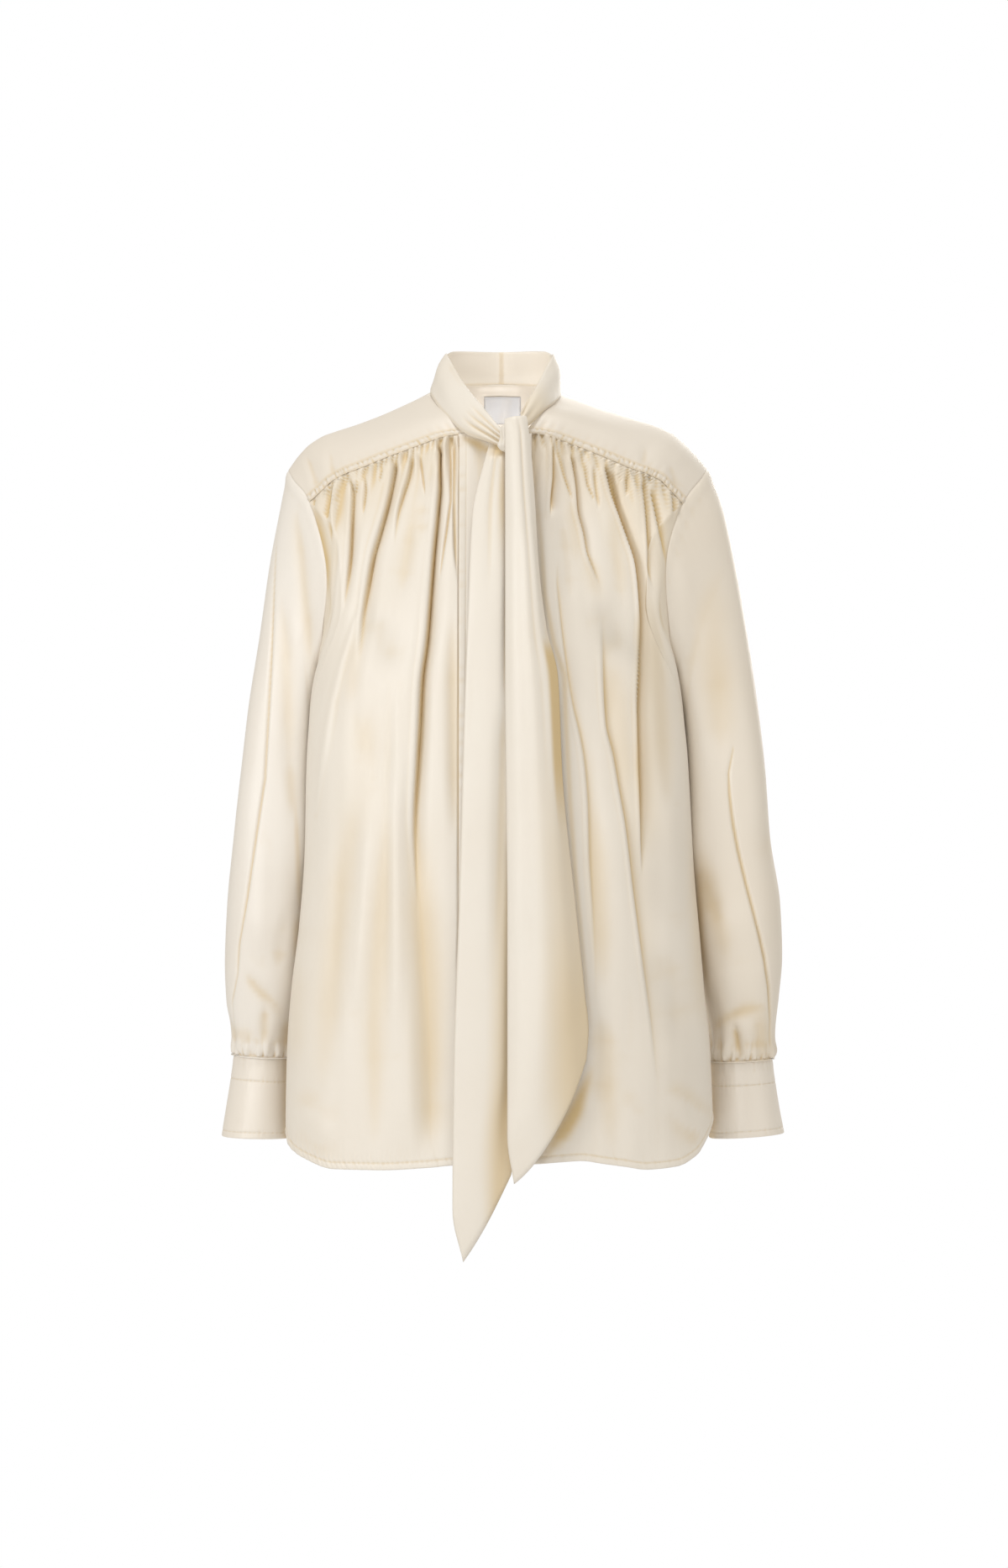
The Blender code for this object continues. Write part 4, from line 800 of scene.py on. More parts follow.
frontSet = {"columns": 218, "armColumns": 30, "rows": 148, "wall": 0.7, "length": 660.0, "hem": 6.5,
            "hemStitch": 6.0, "gathers": 29, "tiny": 50, "spread": 0.0021,
            "gatherFrom": {right: 41, left: 31}, "gatherTo": 178, "tuck": (2.4, 1.6)}
frontFolds = {
    right: [
        fold(1, 3.5, 7, (-141, -91), (-139, -105), (-139.5, -120), (-141, -160), (-145, -210), rise=1.8,
             over=1.4, end=0.55, shade=0.7),
        fold(1, 4, 10, (-99, -75), (-103, -97), (-107, -115), (-114, -140), (-121, -165), (-125, -190),
             (-129, -222), (-131, -262), rise=2.2, over=2, grow=1.2, end=0.45, shade=0.8),
        fold(1, 4.5, 12, (-58, -61), (-58, -95), (-60, -120), (-64, -160), (-67, -200), (-70, -240),
             (-75, -280), (-77, -320), (-79, -360), (-81, -410), (-79, -450), (-77, -480), rise=2.2,
             over=2.4, grow=2, end=0.62, shade=0.9, soft=0.28),
        fold(12, 15, 5, (-80, -400), (-76, -470), (-71, -540), (-66, -620), (-64, -720), start=60, end=0.85,
             shade=0.1),
        fold(1, 3, 6, (-83, -71), (-86, -88), (-91, -104), (-96, -125), (-98, -150), over=0.8, end=0.3,
             shade=0.5), fold(1, 3, 3.2, (-43, -58), (-43, -100), (-42, -150), (-39, -186), shade=0.4)],
    left: [
        fold(1, 3.5, 6, (50, -60), (50, -85), (48, -112), (48, -125), over=0.8, shade=0.7),
        fold(1, 4.5, 8, (67, -70), (71, -95), (73, -120), (78, -140), (82, -160), (88, -176), (95, -194),
             over=1.4, end=0.45, shade=0.7),
        fold(1, 6, 12, (100, -80), (106, -105), (113, -125), (120, -145), (127, -170), (130, -195),
             (132, -230), (131, -270), (129, -310), (130, -350), (132, -400), (134, -450), rise=2, over=0.8,
             grow=1, end=0.78, shade=0.97, soft=0.8),
        fold(1.5, 4, 6, (135, -93), (138, -120), (140, -150), (141, -170), (146, -196), end=0.5, shade=0.8),
        fold(1.6, 4, 5, (143, -100), (147, -115), (151, -135), (155, -158), (158, -176), shade=0.9),
        fold(2.2, 11, 5, (97, -262), (98, -290), (100, -320), (107, -350), (112, -380), (118, -415),
             (126, -480), (134, -540), (142, -600), (148, -660), rise=1.3, over=1, start=50, end=0.5,
             shade=0.36, soft=0.6),
        fold(2, 9, 3.2, (54, -190), (58, -230), (62, -262), (68, -300), (76, -335), (80, -360), (83, -400),
             (84, -440), (87, -490), (90, -560), rise=1.4, over=0.6, start=30, end=0.6, shade=0.25)]}
# smaller creases, hollows and ridges; the troughs also carry a painted shade
frontStrokes = {
    right: [
        (3.4, 1.3, (-127, -86), (-126, -100), (-128, -122)),
        (3.4, 1.2, (-47, -58), (-46, -110), (-50, -140), (-56, -180)),
        (2.6, 1.1, (-75, -68), (-72, -90), (-70, -104)), (2.6, 1.2, (-150, -93), (-155, -116)),
        (2.2, 1.1, (-134, -89), (-136, -104)), (2.6, 1.1, (-110, -78), (-113, -92)),
        (1.6, 6, (-72, -112), (-73, -144)), (1.6, 9, (-84, -130), (-92, -196)),
        (1.4, 14, (-112, -232), (-106, -250)), (0.6, 15, (-128, -320), (-127, -350)),
        (2.4, 8, (-44, -225), (-43, -300), (-41, -420)),
        (2.2, 14, (-140, -400), (-150, -480), (-160, -580), (-166, -660)),
        (2.2, 12, (-105, -420), (-112, -520), (-117, -600), (-115, -710)),
        (-1.8, 10, (-118, -380), (-124, -480), (-134, -580)),
        (-1.6, 8, (-95, -290), (-96, -450), (-96, -620)), (-1.6, 13, (-178, -690), (-168, -700)),
        (1.6, 1.6, (-160, -120), (-158, -146)),
        (-1.4, 3.5, (-133, -215), (-148, -262), (-157, -300), (-163, -340), (-172, -400))],
    left: [
        (3.4, 1.3, (55, -63), (60, -85), (67, -108)), (2.8, 1.2, (80, -74), (83, -95), (89, -110)),
        (3, 1.8, (88, -78), (90, -95), (93, -116)), (2.8, 1.1, (106, -81), (109, -100), (114, -120)),
        (3.4, 1.3, (120, -84), (120, -104)), (2.6, 1.1, (112, -82), (114, -92)),
        (1.4, 14, (98, -224), (106, -242)), (1.6, 7, (60, -135), (66, -205)),
        (1.6, 8, (107, -125), (112, -190), (119, -220)), (2.4, 9, (150, -195), (156, -300), (158, -390)),
        (-1.8, 11, (103, -390), (109, -500), (113, -620)), (-1.6, 10, (162, -395), (166, -500)),
        (2, 15, (152, -530), (164, -565), (170, -610)), (2, 12, (94, -590), (98, -680)),
        (-2, 10, (166, -676), (178, -688), (190, -696)), (-1.6, 10, (120, -680), (124, -728))]}
# soft shades laid on the cloth: strength, width, points
frontShades = {
    right: [
        (0.9, 3.6, (-175, -116), (-169, -140), (-163, -166), (-160, -192)),
        (0.18, 9, (-127, -326), (-126, -340)), (0.2, 8, (-78, -110), (-84, -150), (-92, -190)),
        (0.32, 8, (-43, -225), (-42, -300), (-41, -420)), (0.16, 7, (-134, -235), (-140, -300)),
        (0.46, 14, (-77, -420), (-72, -500), (-67, -560), (-66, -640), (-70, -710)),
        (0.26, 12, (-138, -400), (-148, -470), (-158, -560), (-166, -650)),
        (0.26, 10, (-104, -400), (-110, -480), (-117, -600), (-116, -700)),
        (0.14, 10, (-190, -540), (-192, -640)), (0.1, 20, (-118, -300), (-128, -380), (-140, -440))],
    left: [
        (0.2, 11, (108, -265), (113, -330), (121, -390)), (0.3, 9, (146, -205), (152, -300), (157, -390)),
        (0.2, 7, (66, -110), (72, -170)), (0.2, 7, (80, -165), (92, -200)),
        (0.2, 7, (104, -120), (116, -200)), (0.34, 9, (88, -400), (92, -470), (96, -560)),
        (0.22, 9, (100, -600), (103, -710)), (0.2, 8, (184, -420), (188, -600)),
        (0.95, 2.6, (129, -210), (130, -260), (129, -310), (129, -360), (131, -410)),
        (0.5, 2.6, (33, -90), (39, -150), (42, -200), (50, -245), (60, -275), (61, -310), (65, -390),
         (70, -460), (80, -560), (85, -600)),
        (0.9, 5.5, (86, -640), (79, -658), (68, -681), (55, -702), (41, -724)),
        (0.97, 6, (78, -668), (66, -690), (54, -710))]}
# painted shade of shallow dents, a dull grey, in the same way
frontDentShades = {
    right: [(0.22, 15, (-113, -228), (-105, -254))],
    left: [
        (0.28, 14, (97, -218), (104, -240)), (0.26, 12, (108, -240), (124, -254)),
        (0.16, 18, (138, -400), (150, -510)), (0.22, 20, (146, -550), (158, -600)),
        (0.16, 22, (166, -620), (160, -700))]}


sideEnd, hemLift, hemPitch = 0.9995, 0.1, 2.6


def panelColumns(s, share):
    # Across a gathered panel: close along the yoke, wider along the armhole.
    return np.concatenate([np.linspace(0, share, s["columns"]),
                           np.linspace(share, sideEnd, s["armColumns"] + 1)[1:]])


def panelRows(s):
    # From the seam (0) to the edge (1): close at the top and at the hem.
    t = np.linspace(0, 1, s["rows"])
    main = (0.28 * t + 0.72 * t ** 1.6) * (1 - 1.6 * s["hem"] / s["length"])
    return np.concatenate([main, np.linspace(main[-1], 1, 9)[1:]])


def hemRoll(s, far):
    # The turned hem, a little higher than the single cloth.
    return 0.35 * fall(s["hem"] - 0.6, s["hem"] + 0.4, far)


def hemStitches(name, s, p, out, v, places):
    row = np.interp(1 - s["hemStitch"] / s["length"], v, np.arange(len(v)))
    line = readGrid(p, row, np.linspace(*places), out, hemLift)
    return stitch(name, [line], pitch=hemPitch)


def crumple(x, z, seed, size=1.0):
    # Very low broad unevenness of limp cloth.
    across = waves(x * 0.06 + z * 0.011, seed, 0.6, 1.6)
    return size * 0.5 * (across + waves(x * 0.03 - z * 0.02, seed + 1, 0.6, 1.6))


def makeFront(side):
    s, share, name = frontSet, gatherShare[True], sideNames[side]
    u, v = panelColumns(s, share), panelRows(s)
    uu, vv = np.meshgrid(u, v)
    p = frontPoint(side, uu, vv)
    out = outward(p, fromAxis(p))
    drop = p[:1, :, 2] - p[..., 2]
    # fromX is where on the seam the cloth of a place begins, and `at` its share of the seam
    shares = np.linspace(0, 1, 60)
    fromX = p[..., 0] * side / (1 + s["spread"] * np.clip(drop, 0, 200))
    at = np.interp(fromX, frontSeam(side, shares)[:, 0] * side, shares)
    beside = 1 - step(0.985, 1.0, at) * 0.5
    corner = 1 - step(share - 0.008, share + 0.008, uu) * fall(20, 60, drop)
    places = uneven(s["gatherFrom"][side], s["gatherTo"], s["gathers"], 11 + side)
    height = gathers(fromX, drop, places, 21 + side, often=0.1)
    places = uneven(s["gatherFrom"][side], s["gatherTo"], s["tiny"], 31 + side, 0.45)
    tiny = gathers(fromX, drop, places, 41 + side, deep=1.5, wide=0.6, reach=3.6, often=0)
    height = (height + tiny * fall(0.88, 0.96, at)) * beside * step(0.0, 0.05, at) * corner
    # free cloth, away from the seams of yoke, armhole and side
    free = step(-2, 12, drop) * (1 - 0.75 * step(0.88, 1.0, uu))
    free = free * (1 - step(share - 0.02, share + 0.02, uu) * fall(0, 30, drop))
    x, z = p[..., 0].copy(), p[..., 2]
    folds, shift, shade = foldField(frontFolds[side], x, z)
    small, tone = strokes(frontStrokes[side], x, z, 0.05)
    height = height + (folds + small) * free
    p[..., 0] += shift * free
    streak = waves(fromX, 17 + side, 0.30, 0.62, 6) * (1 - 0.35 * step(120, 420, drop))
    streak = streak + 0.9 * waves(fromX, 19, 0.12, 0.3)
    height = height + crumple(x, z, 5 + side) * step(10, 120, drop)
    height = height + 0.26 * streak * free * step(8, 50, drop)
    # painted shade: the listed soft shades with a golden shade among the gathers below the seam, grey dent
    # shades, and the folds' and strokes' shade
    soft = both(strokes(frontShades[side], x, z, 1.0)[1], 0.2 * fall(8, 70, drop))
    dentShade = strokes(frontDentShades[side], x, z, 1.0)[1]
    shade = both(np.maximum(shade, tone), soft)
    if side == left:
        # low beside the placket, and up behind the yoke's edge
        height = height - 3.6 * fall(30, 46, p[..., 0])
        p[..., 2] += 4.0 * bell(p[..., 0] - 36, 13) * fall(0, 14, drop)
    else:
        height = height - 1.5 * fall(38.2, 39.8, -p[..., 0])
    height = height - np.where(uu < share, 0.35, 0.5) * fall(0, 2.0, drop)
    far = fromFoot(p)
    height = height + hemRoll(s, far) - 0.5 * bell(far - s["hemStitch"], 1.1)
    height = height + 0.3 * waves(p[..., 0] + 0.5 * far, 77, 0.5, 1.6) * fall(3, 16, far)
    # painted shade along the hem's stitch line
    shade = both(shade, 0.08 * bell(far - s["hemStitch"], 1.2))
    p = p + out * height[..., None]
    full = tucked(p, out, *s["tuck"])
    item = shell("front" + name, full, s["wall"], fromAxis(full), cloths["body"], shade=shade, dentShade=dentShade)
    return item, hemStitches("hemStitches" + name, s, p, out, v, (4, len(u) - 2, 240))


for side, node in ((right, "front_right"), (left, "front_left")):
    item, sewn = makeFront(side)
    asSheet(item, node, flat=(0.32, 0.69), held="gathered", rests_on=["yoke"], area=0.185,
            with_pieces=[sewn])


# back

backSet = {"columns": 158, "armColumns": 28, "rows": 92, "wall": 0.7, "length": 640.0, "hem": 6.5,
           "hemStitch": 6.0, "gathers": 44, "spread": 0.0014, "gatherTo": 164, "tuck": (2.4, 1.6)}
backFolds = [
    fold(1.8, 13, 9, (-112, -122), (-128, -230), (-136, -330), (-150, -620), over=1.2),
    fold(1.5, 14, 10, (-68, -124), (-80, -220), (-88, -320), (-98, -560), over=1.6),
    fold(1.8, 12, 8, (-22, -124), (-28, -210), (-34, -300), (-42, -470), over=1.2),
    fold(1.6, 14, 10, (34, -124), (38, -250), (42, -360), (54, -590), over=1.6),
    fold(1.8, 13, 9, (84, -124), (94, -220), (99, -330), (106, -540), over=1.2),
    fold(2, 13, 8, (124, -128), (136, -250), (143, -360), (158, -640), over=1),
    fold(4, 7, 3, (-48, -118), (-52, -160), (-56, -200)), fold(4, 8, 3.2, (8, -120), (9, -170), (6, -230)),
    fold(4, 7, 3, (62, -120), (66, -160), (70, -190)),
    fold(14, 20, 6, (-60, -470), (-66, -600), (-72, -720), start=40, shade=0.08),
    fold(14, 22, 6, (10, -450), (6, -600), (14, -720), start=40, shade=0.08),
    fold(14, 20, 6, (84, -490), (92, -620), (104, -720), start=40, shade=0.08)]


def makeBack():
    s, share = backSet, gatherShare[False]
    half, v = panelColumns(s, share), panelRows(s)
    u = np.concatenate([(1 - half[::-1]) / 2, (1 + half[1:]) / 2])
    uu, vv = np.meshgrid(u, v)
    p = backPoint(uu, vv)
    out = outward(p, fromAxis(p))
    drop, w = p[:1, :, 2] - p[..., 2], np.abs(1 - 2 * uu)
    shares = np.linspace(-1, 1, 121)
    seam = np.concatenate([backSeam(right, 1 + shares[:60]), backSeam(left, 1 - shares[60:])])
    fromX = p[..., 0] / (1 + s["spread"] * np.clip(drop, 0, 200))
    at = np.interp(fromX, seam[:, 0], shares)
    corner = 1 - step(share - 0.03, share + 0.02, w) * fall(20, 60, drop)
    places = uneven(-s["gatherTo"], s["gatherTo"], s["gathers"], 51)
    height = gathers(fromX, drop, places, 52) * corner * (1 - 0.7 * step(0.97, 1, np.abs(at)))
    # free cloth, away from the seams
    free = step(0, 26, drop) * (1 - 0.75 * step(0.9, 1.0, w))
    free = free * (1 - step(share - 0.05, share + 0.02, w) * fall(0, 70, drop))
    # the folds also carry a painted shade in their valleys
    folds, shift, shade = foldField(backFolds, p[..., 0], p[..., 2])
    height = height + folds * free
    p[..., 0] += shift * free
    height = height + crumple(p[..., 0], p[..., 2], 9) * step(10, 120, drop)
    height = height - np.where(w < share, 0.35, 0.5) * fall(0, 2.0, drop)
    height = height + hemRoll(s, fromFoot(p))
    p = p + out * height[..., None]
    full = tucked(p, out, *s["tuck"])
    item = shell("back", full, s["wall"], fromAxis(full), cloths["body"], shade=shade)
    return item, hemStitches("hemStitchesBack", s, p, out, v, (2, len(u) - 3, 420))


item, sewn = makeBack()
asSheet(item, "back", flat=(0.60, 0.65), held="gathered", rests_on=["yoke"], area=0.35,
        with_pieces=[sewn])


# yoke

yokeSet = {"overShoulder": 62, "alongBack": 62, "rows": 104, "wall": 1.1, "bandLow": 1.5, "bandHigh": 6.0,
           "backFrom": 0.62, "mend": 15, "mendRounds": 60, "farOff": 99.0, "lift": 0.18, "near": 30}
yokeFolds = [
    fold(6, 8, 0.9, (138, -58), (138, -80), (140, -90), start=8),
    fold(5, 7, 1, (162, -74), (165, -86), (166, -100), start=8),
    fold(4, 7, 1.3, (-182, -66), (-176, -84), (-172, -100), start=8),
    fold(5, 8, 1.3, (-160, -62), (-158, -80), (-156, -98), start=8)]


def makeYoke():
    s = yokeSet
    t, back = np.linspace(0, 1, s["overShoulder"]), np.linspace(s["backFrom"], 1.0, s["alongBack"])
    half = np.concatenate([s["backFrom"] * (0.25 * t + 0.75 * t ** 1.5), back[1:]])
    t = np.linspace(0, 1, s["rows"])
    v = np.concatenate([[-0.022, -0.012], 1 - (1 - t) * (0.45 + 0.55 * (1 - t))])
    grids = [yokePoint(side, *np.meshgrid(half, v)) for side in (right, left)]
    p = np.concatenate([grids[0], grids[1][:, ::-1][:, 1:]], 1)
    # the two halves run into one another at the centre back
    c = slice(len(half) - 1 - s["mend"], len(half) + s["mend"])
    for _ in range(s["mendRounds"]):
        p[:, c] = (p[:, c] + 0.5 * np.roll(p, 1, 1)[:, c] + 0.5 * np.roll(p, -1, 1)[:, c]) / 2
    out = outward(p, upward)
    u = np.concatenate([half, half[::-1][1:]])
    # the distance from the lower edges: the two front seams, the back seam and the armholes
    fromRight, fromEdge = running(p, 1), fromFoot(p)
    frontEdge = np.minimum(fromRight, fromRight[:, -1:] - fromRight)
    inBack = u[None, :] > s["backFrom"] - 0.005
    backEdge = np.where(inBack, fromEdge, s["farOff"])
    armEdge = np.where(inBack, s["farOff"], fromEdge)
    alongFront = np.broadcast_to(running(p)[:, :1], p.shape[:2])
    height, shade = np.zeros(p.shape[:2]), np.zeros(p.shape[:2])
    # each seam is puckered between its two rows of stitches
    for far, run, seed in ((frontEdge, alongFront, 3), (backEdge, p[..., 0], 4)):
        band = step(0.2, 1.4, far) * fall(5.4, 7.6, far)
        pucker = waves(run, seed, 1.1, 2.6, 6) + 0.6 * waves(run + far, seed + 7, 0.6, 1.2)
        height += 0.85 * pucker * band + 0.5 * band
        # painted shade in the puckers' valleys and along both edges of the band
        shade += 0.3 * (np.clip(-pucker, 0, 1) * band + bell(far - 7.6, 1.2) + bell(far - 0.4, 1.0))
        height -= 0.5 * (bell(far - s["bandLow"], 0.8) + bell(far - s["bandHigh"], 0.9))
        height += 0.22 * waves(run * 0.5, seed + 11, 0.6, 1.6) * bell(far - 11, 7)
    height -= 0.35 * fall(0, 1.8, armEdge)
    height -= fall(-0.004, 0.006, v)[:, None]
    front, anyEdge = step(10, -25, p[..., 1]), np.minimum(frontEdge, fromEdge)
    height += foldField(yokeFolds, p[..., 0], p[..., 2])[0] * front * step(0, 12, frontEdge)
    height += crumple(p[..., 0], p[..., 1] - p[..., 2], 15, 0.5) * step(4, 30, anyEdge)
    # the lower edge lies over the gathered cloth
    height += 0.7 * fall(2, 16, np.minimum(frontEdge, backEdge))
    p = p + out * height[..., None]
    item = shell("yoke", p, s["wall"], out, cloths["yoke"], soften=0.8, shade=shade)
    return item, yokeStitches(p, out, frontEdge, backEdge, np.nonzero(u > s["backFrom"] + 0.005)[0])


def yokeStitches(p, out, frontEdge, backEdge, inBack):
    # Two rows along each front seam, looked for in its nearest columns, and two along the back seam.
    lines, lift, near, rows = [], yokeSet["lift"], yokeSet["near"], np.arange(len(p))
    for value in (yokeSet["bandLow"], yokeSet["bandHigh"]):
        for way in (1, -1):
            g, o, far = p[:, ::way], out[:, ::way], frontEdge[:, ::way]
            places = [np.interp(value, far[r, :near], np.arange(near)) for r in rows[2:-1]]
            lines.append(readGrid(g, rows[2:-1], places, o, lift))
        places = [np.interp(-value, -backEdge[:, c], rows) for c in inBack]
        lines.append(readGrid(p, places, inBack, out, lift))
    return stitch("yokeStitches", lines, pitch=2.3, length=1.6, radius=0.2)


item, sewn = makeYoke()
asSheet(item, "yoke", flat=(0.44, 0.24), held="stretched", rests_on=["collar_band"], area=0.085,
        with_pieces=[sewn])


# sleeves and cuffs: s runs from the armhole (0) to the cuff (1), and turn goes round the arm

hoopNames = ("outX", "outZ", "inX", "inZ", "midY", "deep")
sleeveNames = ("s",) + hoopNames
sleeveRings = {
    right: (sleeveNames, [
        (0.00, -202, -78, -163, -288, 2, 66), (0.07, -210, -118, -171, -304, 8, 62),
        (0.15, -219, -165, -176, -326, 14, 60), (0.27, -229, -236, -179, -352, 18, 60),
        (0.39, -239, -300, -181, -385, 20, 61), (0.51, -246, -360, -182, -420, 21, 62),
        (0.63, -253.5, -426, -184, -463, 22, 63), (0.75, -260, -492, -186, -512, 22, 63),
        (0.85, -262, -548, -191, -558, 24, 60), (0.92, -261, -584, -195, -590, 24, 54),
        (0.96, -257, -607, -198, -612, 23, 48), (1.00, -254, -634, -199, -637, 22, 37)]),
    left: (sleeveNames, [
        (0.00, 198, -76, 160, -288, 2, 66), (0.07, 212, -112, 168, -304, 8, 62),
        (0.15, 224, -164, 173, -326, 14, 60), (0.27, 236, -232, 176, -352, 18, 60),
        (0.39, 246, -300, 178, -385, 20, 61), (0.51, 253, -360, 179, -420, 21, 62),
        (0.63, 258, -426, 181, -463, 22, 63), (0.75, 268, -490, 184, -512, 22, 63),
        (0.85, 270, -540, 191, -558, 24, 60), (0.92, 267, -580, 197, -590, 24, 54),
        (0.96, 264, -605, 200, -612, 23, 48), (1.00, 260, -638, 201, -641, 22, 37)])}
sleeveSet = {"front": 112, "behind": 44, "rows": 134, "wall": 0.7, "gathers": 30,
             "seed": {right: 61, left: 81}, "underarm": 196, "tuckTop": (2.2, 1.3), "tuckCuff": (3.0, 1.8)}
# creases behind: from turn and s to turn and s, then the width as a share of the round, and the depth
sleeveFolds = {
    right: [(-60, 0.2, -100, 0.7, 0.040, 5.0), (-140, 0.3, -90, 0.8, 0.040, 4.5),
            (200, 0.2, 215, 0.6, 0.040, 4.5), (-30, 0.5, -60, 0.9, 0.030, 3.5),
            (-150, 0.7, -120, 0.95, 0.022, 3.0)],
    left: [(-70, 0.18, -110, 0.7, 0.040, 5.0), (-150, 0.3, -95, 0.78, 0.040, 4.5),
           (205, 0.25, 215, 0.6, 0.040, 4.5), (-36, 0.5, -64, 0.9, 0.030, 3.5),
           (-150, 0.72, -124, 0.95, 0.022, 3.0)]}
sleeveStrokes = {
    right: [
        (1.7, 1.4, (-212, -140), (-214, -197), (-219, -312), (-222, -371), (-230, -423), (-239, -483),
         (-247, -527), (-249, -557), (-254, -583), (-252, -612)),
        (1.6, 7, (-193, -115), (-188, -160), (-184, -205), (-178, -262)),
        (1.6, 8, (-207, -195), (-203, -250), (-200, -312), (-197, -368), (-195, -410)),
        (1.3, 7, (-241, -556), (-230, -570), (-215, -584)), (1.4, 5, (-222, -585), (-222, -621)),
        (-1.4, 9, (-225, -430), (-228, -540)), (1.4, 7, (-203, -500), (-210, -550))],
    left: [
        (2.9, 1.6, (221, -340), (216, -366), (217, -386), (220, -412), (225, -438), (233, -471),
         (240, -497), (246, -520), (251, -542), (255, -568), (257, -601), (257, -636)),
        (0.9, 10, (204, -260), (210, -345)), (1.5, 10, (190, -465), (203, -500)),
        (1.1, 8, (205, -608), (216, -598), (231, -590), (246, -588), (254, -591)),
        (2.2, 3, (221, -604), (229, -638)), (2, 8, (246, -606), (250, -632)),
        (-1.6, 8, (226, -604), (236, -612)), (-1.4, 11, (172, -160), (174, -260))]}
# painted shades on the sleeves' fronts: strength, width, points
sleeveShades = {
    right: [
        (0.18, 6, (-195, -120), (-188, -170), (-181, -230), (-179, -280)),
        (0.18, 8, (-205, -215), (-200, -300), (-197, -350)), (0.24, 5, (-199, -355), (-195, -405)),
        (0.35, 2.4, (-193, -395), (-191, -440), (-190, -480), (-189, -502)),
        (0.35, 4, (-191, -500), (-193, -545)),
        (0.18, 6, (-241, -556), (-230, -570), (-216, -584), (-207, -596)),
        (0.3, 4.6, (-223, -590), (-223, -622)), (0.25, 6, (-254, -612), (-240, -614)),
        (0.45, 6, (-202, -600), (-200, -636))],
    left: [
        (0.5, 3.6, (187, -460), (190, -520), (194, -570), (200, -618)), (0.3, 12, (190, -450), (202, -502)),
        (0.25, 8, (206, -500), (213, -534)), (0.12, 12, (202, -230), (209, -345)),
        (0.08, 9, (214, -250), (217, -340)), (0.2, 7, (206, -606), (216, -598), (232, -590), (254, -590)),
        (0.24, 5, (222, -604), (229, -636)), (0.32, 8, (248, -600), (250, -632)),
        (0.16, 14, (200, -180), (206, -320))]}


def hoop(turn, outX, outZ, inX, inZ, midY, deep, power=0.92, flat=0.0):
    # A ring from its outer and inner points. `flat` squares its front, most of all beside the body.
    c, s = np.cos(np.radians(turn)), np.sin(np.radians(turn))
    flat = flat * np.where(s > 0, np.where(c > 0, 0.7, 1), 0)
    c, s = np.sign(c) * np.abs(c) ** power, np.sign(s) * np.abs(s) ** (power - flat)
    return vec((outX + inX) / 2 + (outX - inX) / 2 * c, midY - deep * s,
               (outZ + inZ) / 2 + (outZ - inZ) / 2 * c)


def turnFrom(turn, middle):
    # Degrees from `middle`, the short way round.
    return np.mod(turn - middle + 180, 360) - 180


def sleevePoint(side, turn, s):
    table = sleeveRings[side]
    flat = (0.45 + 0.32 * fall(0.55, 0.76, s)) * fall(0.85, 1.0, s)
    p = hoop(turn, *[column(table, n, s) for n in hoopNames], flat=flat)
    first = hoop(turn, *table[1][0][1:], flat=0.77)
    return p + (armhole(side, turn) - first) * ((1 - s) ** 5)[..., None]


def sleeveCreases(side, turn, s):
    total = 0.0 * s
    for turn0, s0, turn1, s1, width, depth in sleeveFolds[side]:
        t = np.clip((s - s0) / (s1 - s0), -0.3, 1.3)
        gap = turnFrom(turn, turn0 + (turn1 - turn0) * t) / 360
        near = np.where(gap > 0, width * 0.5, width)
        fade = step(-0.1, 0.25, t) * fall(0.7, 1.1, t)
        total = total - depth * fade * bell(gap, near)
        total = total + 0.35 * depth * fade * bell(gap - width * 1.15, width * 0.7)
    return total


def makeSleeve(side):
    s, name = sleeveSet, "sleeve" + sideNames[side]
    swing = np.cos(math.pi * np.linspace(0, 1, s["rows"]))
    down = np.clip(0.5 - 0.5 * swing * (0.75 + 0.25 * np.abs(swing)), 0, 0.9992)
    n, m = s["front"], s["behind"]
    turn = np.concatenate([np.arange(n) * 180.0 / n, 180 + np.arange(m) * 180.0 / m])
    tt, ss = np.meshgrid(turn, down)
    p = sleevePoint(side, tt, ss)
    out = outward(p, fromMiddle(p), closed=True)
    fromTop, seed = running(p), s["seed"][side]
    toCuff = fromTop[-1] - fromTop
    height = gathers(tt, toCuff, uneven(0, 360, s["gathers"], seed), seed + 1, deep=2.6, wide=2.2,
                     reach=11.0, longer=4.0, wrap=360.0)
    height += sleeveCreases(side, tt, ss) * step(0, 30, fromTop) * step(0, 20, toCuff)
    # the front of the sleeve has creases and painted shades of its own
    ahead = step(4, 24, tt) * fall(160, 178, tt) * step(0, 16, fromTop)
    small, tone = strokes(sleeveStrokes[side], p[..., 0], p[..., 2], 0.05)
    height += small * ahead * step(0, 6, toCuff)
    soft = strokes(sleeveShades[side], p[..., 0], p[..., 2], 1.0)[1]
    shade = both(tone * ahead, soft * step(4, 24, tt) * fall(176, 190, tt))
    height += 0.8 * ringWaves(tt / 360, seed + 9, 2, 6) * step(20, 120, fromTop) * step(10, 80, toCuff)
    # the head of the sleeve, eased into the armhole
    head = 0.5 + 0.5 * np.cos(np.radians(tt))
    eased = head * step(0.5, 4, fromTop) * np.exp(-fromTop / 14)
    height += 0.35 * ringWaves(tt / 360, seed + 12, 16, 34) * eased
    height += 0.8 * bell(fromTop - 6, 5) * head ** 3
    height -= 0.5 * fall(0, 2.0, fromTop) + 0.6 * fall(0, 2.6, toCuff)
    height += 1.3 * bell(toCuff - 8, 6)
    # the seam that runs down the underside
    height -= 0.5 * bell(turnFrom(tt, s["underarm"]), 1.6) * step(2, 20, fromTop)
    p = tucked(p + out * height[..., None], out, *s["tuckTop"])
    p = tucked(p, np.concatenate([out[:3], out]), *s["tuckCuff"], below=True)
    return shell(name, p, s["wall"], fromMiddle(p), cloths[name], closed=True, shade=shade)


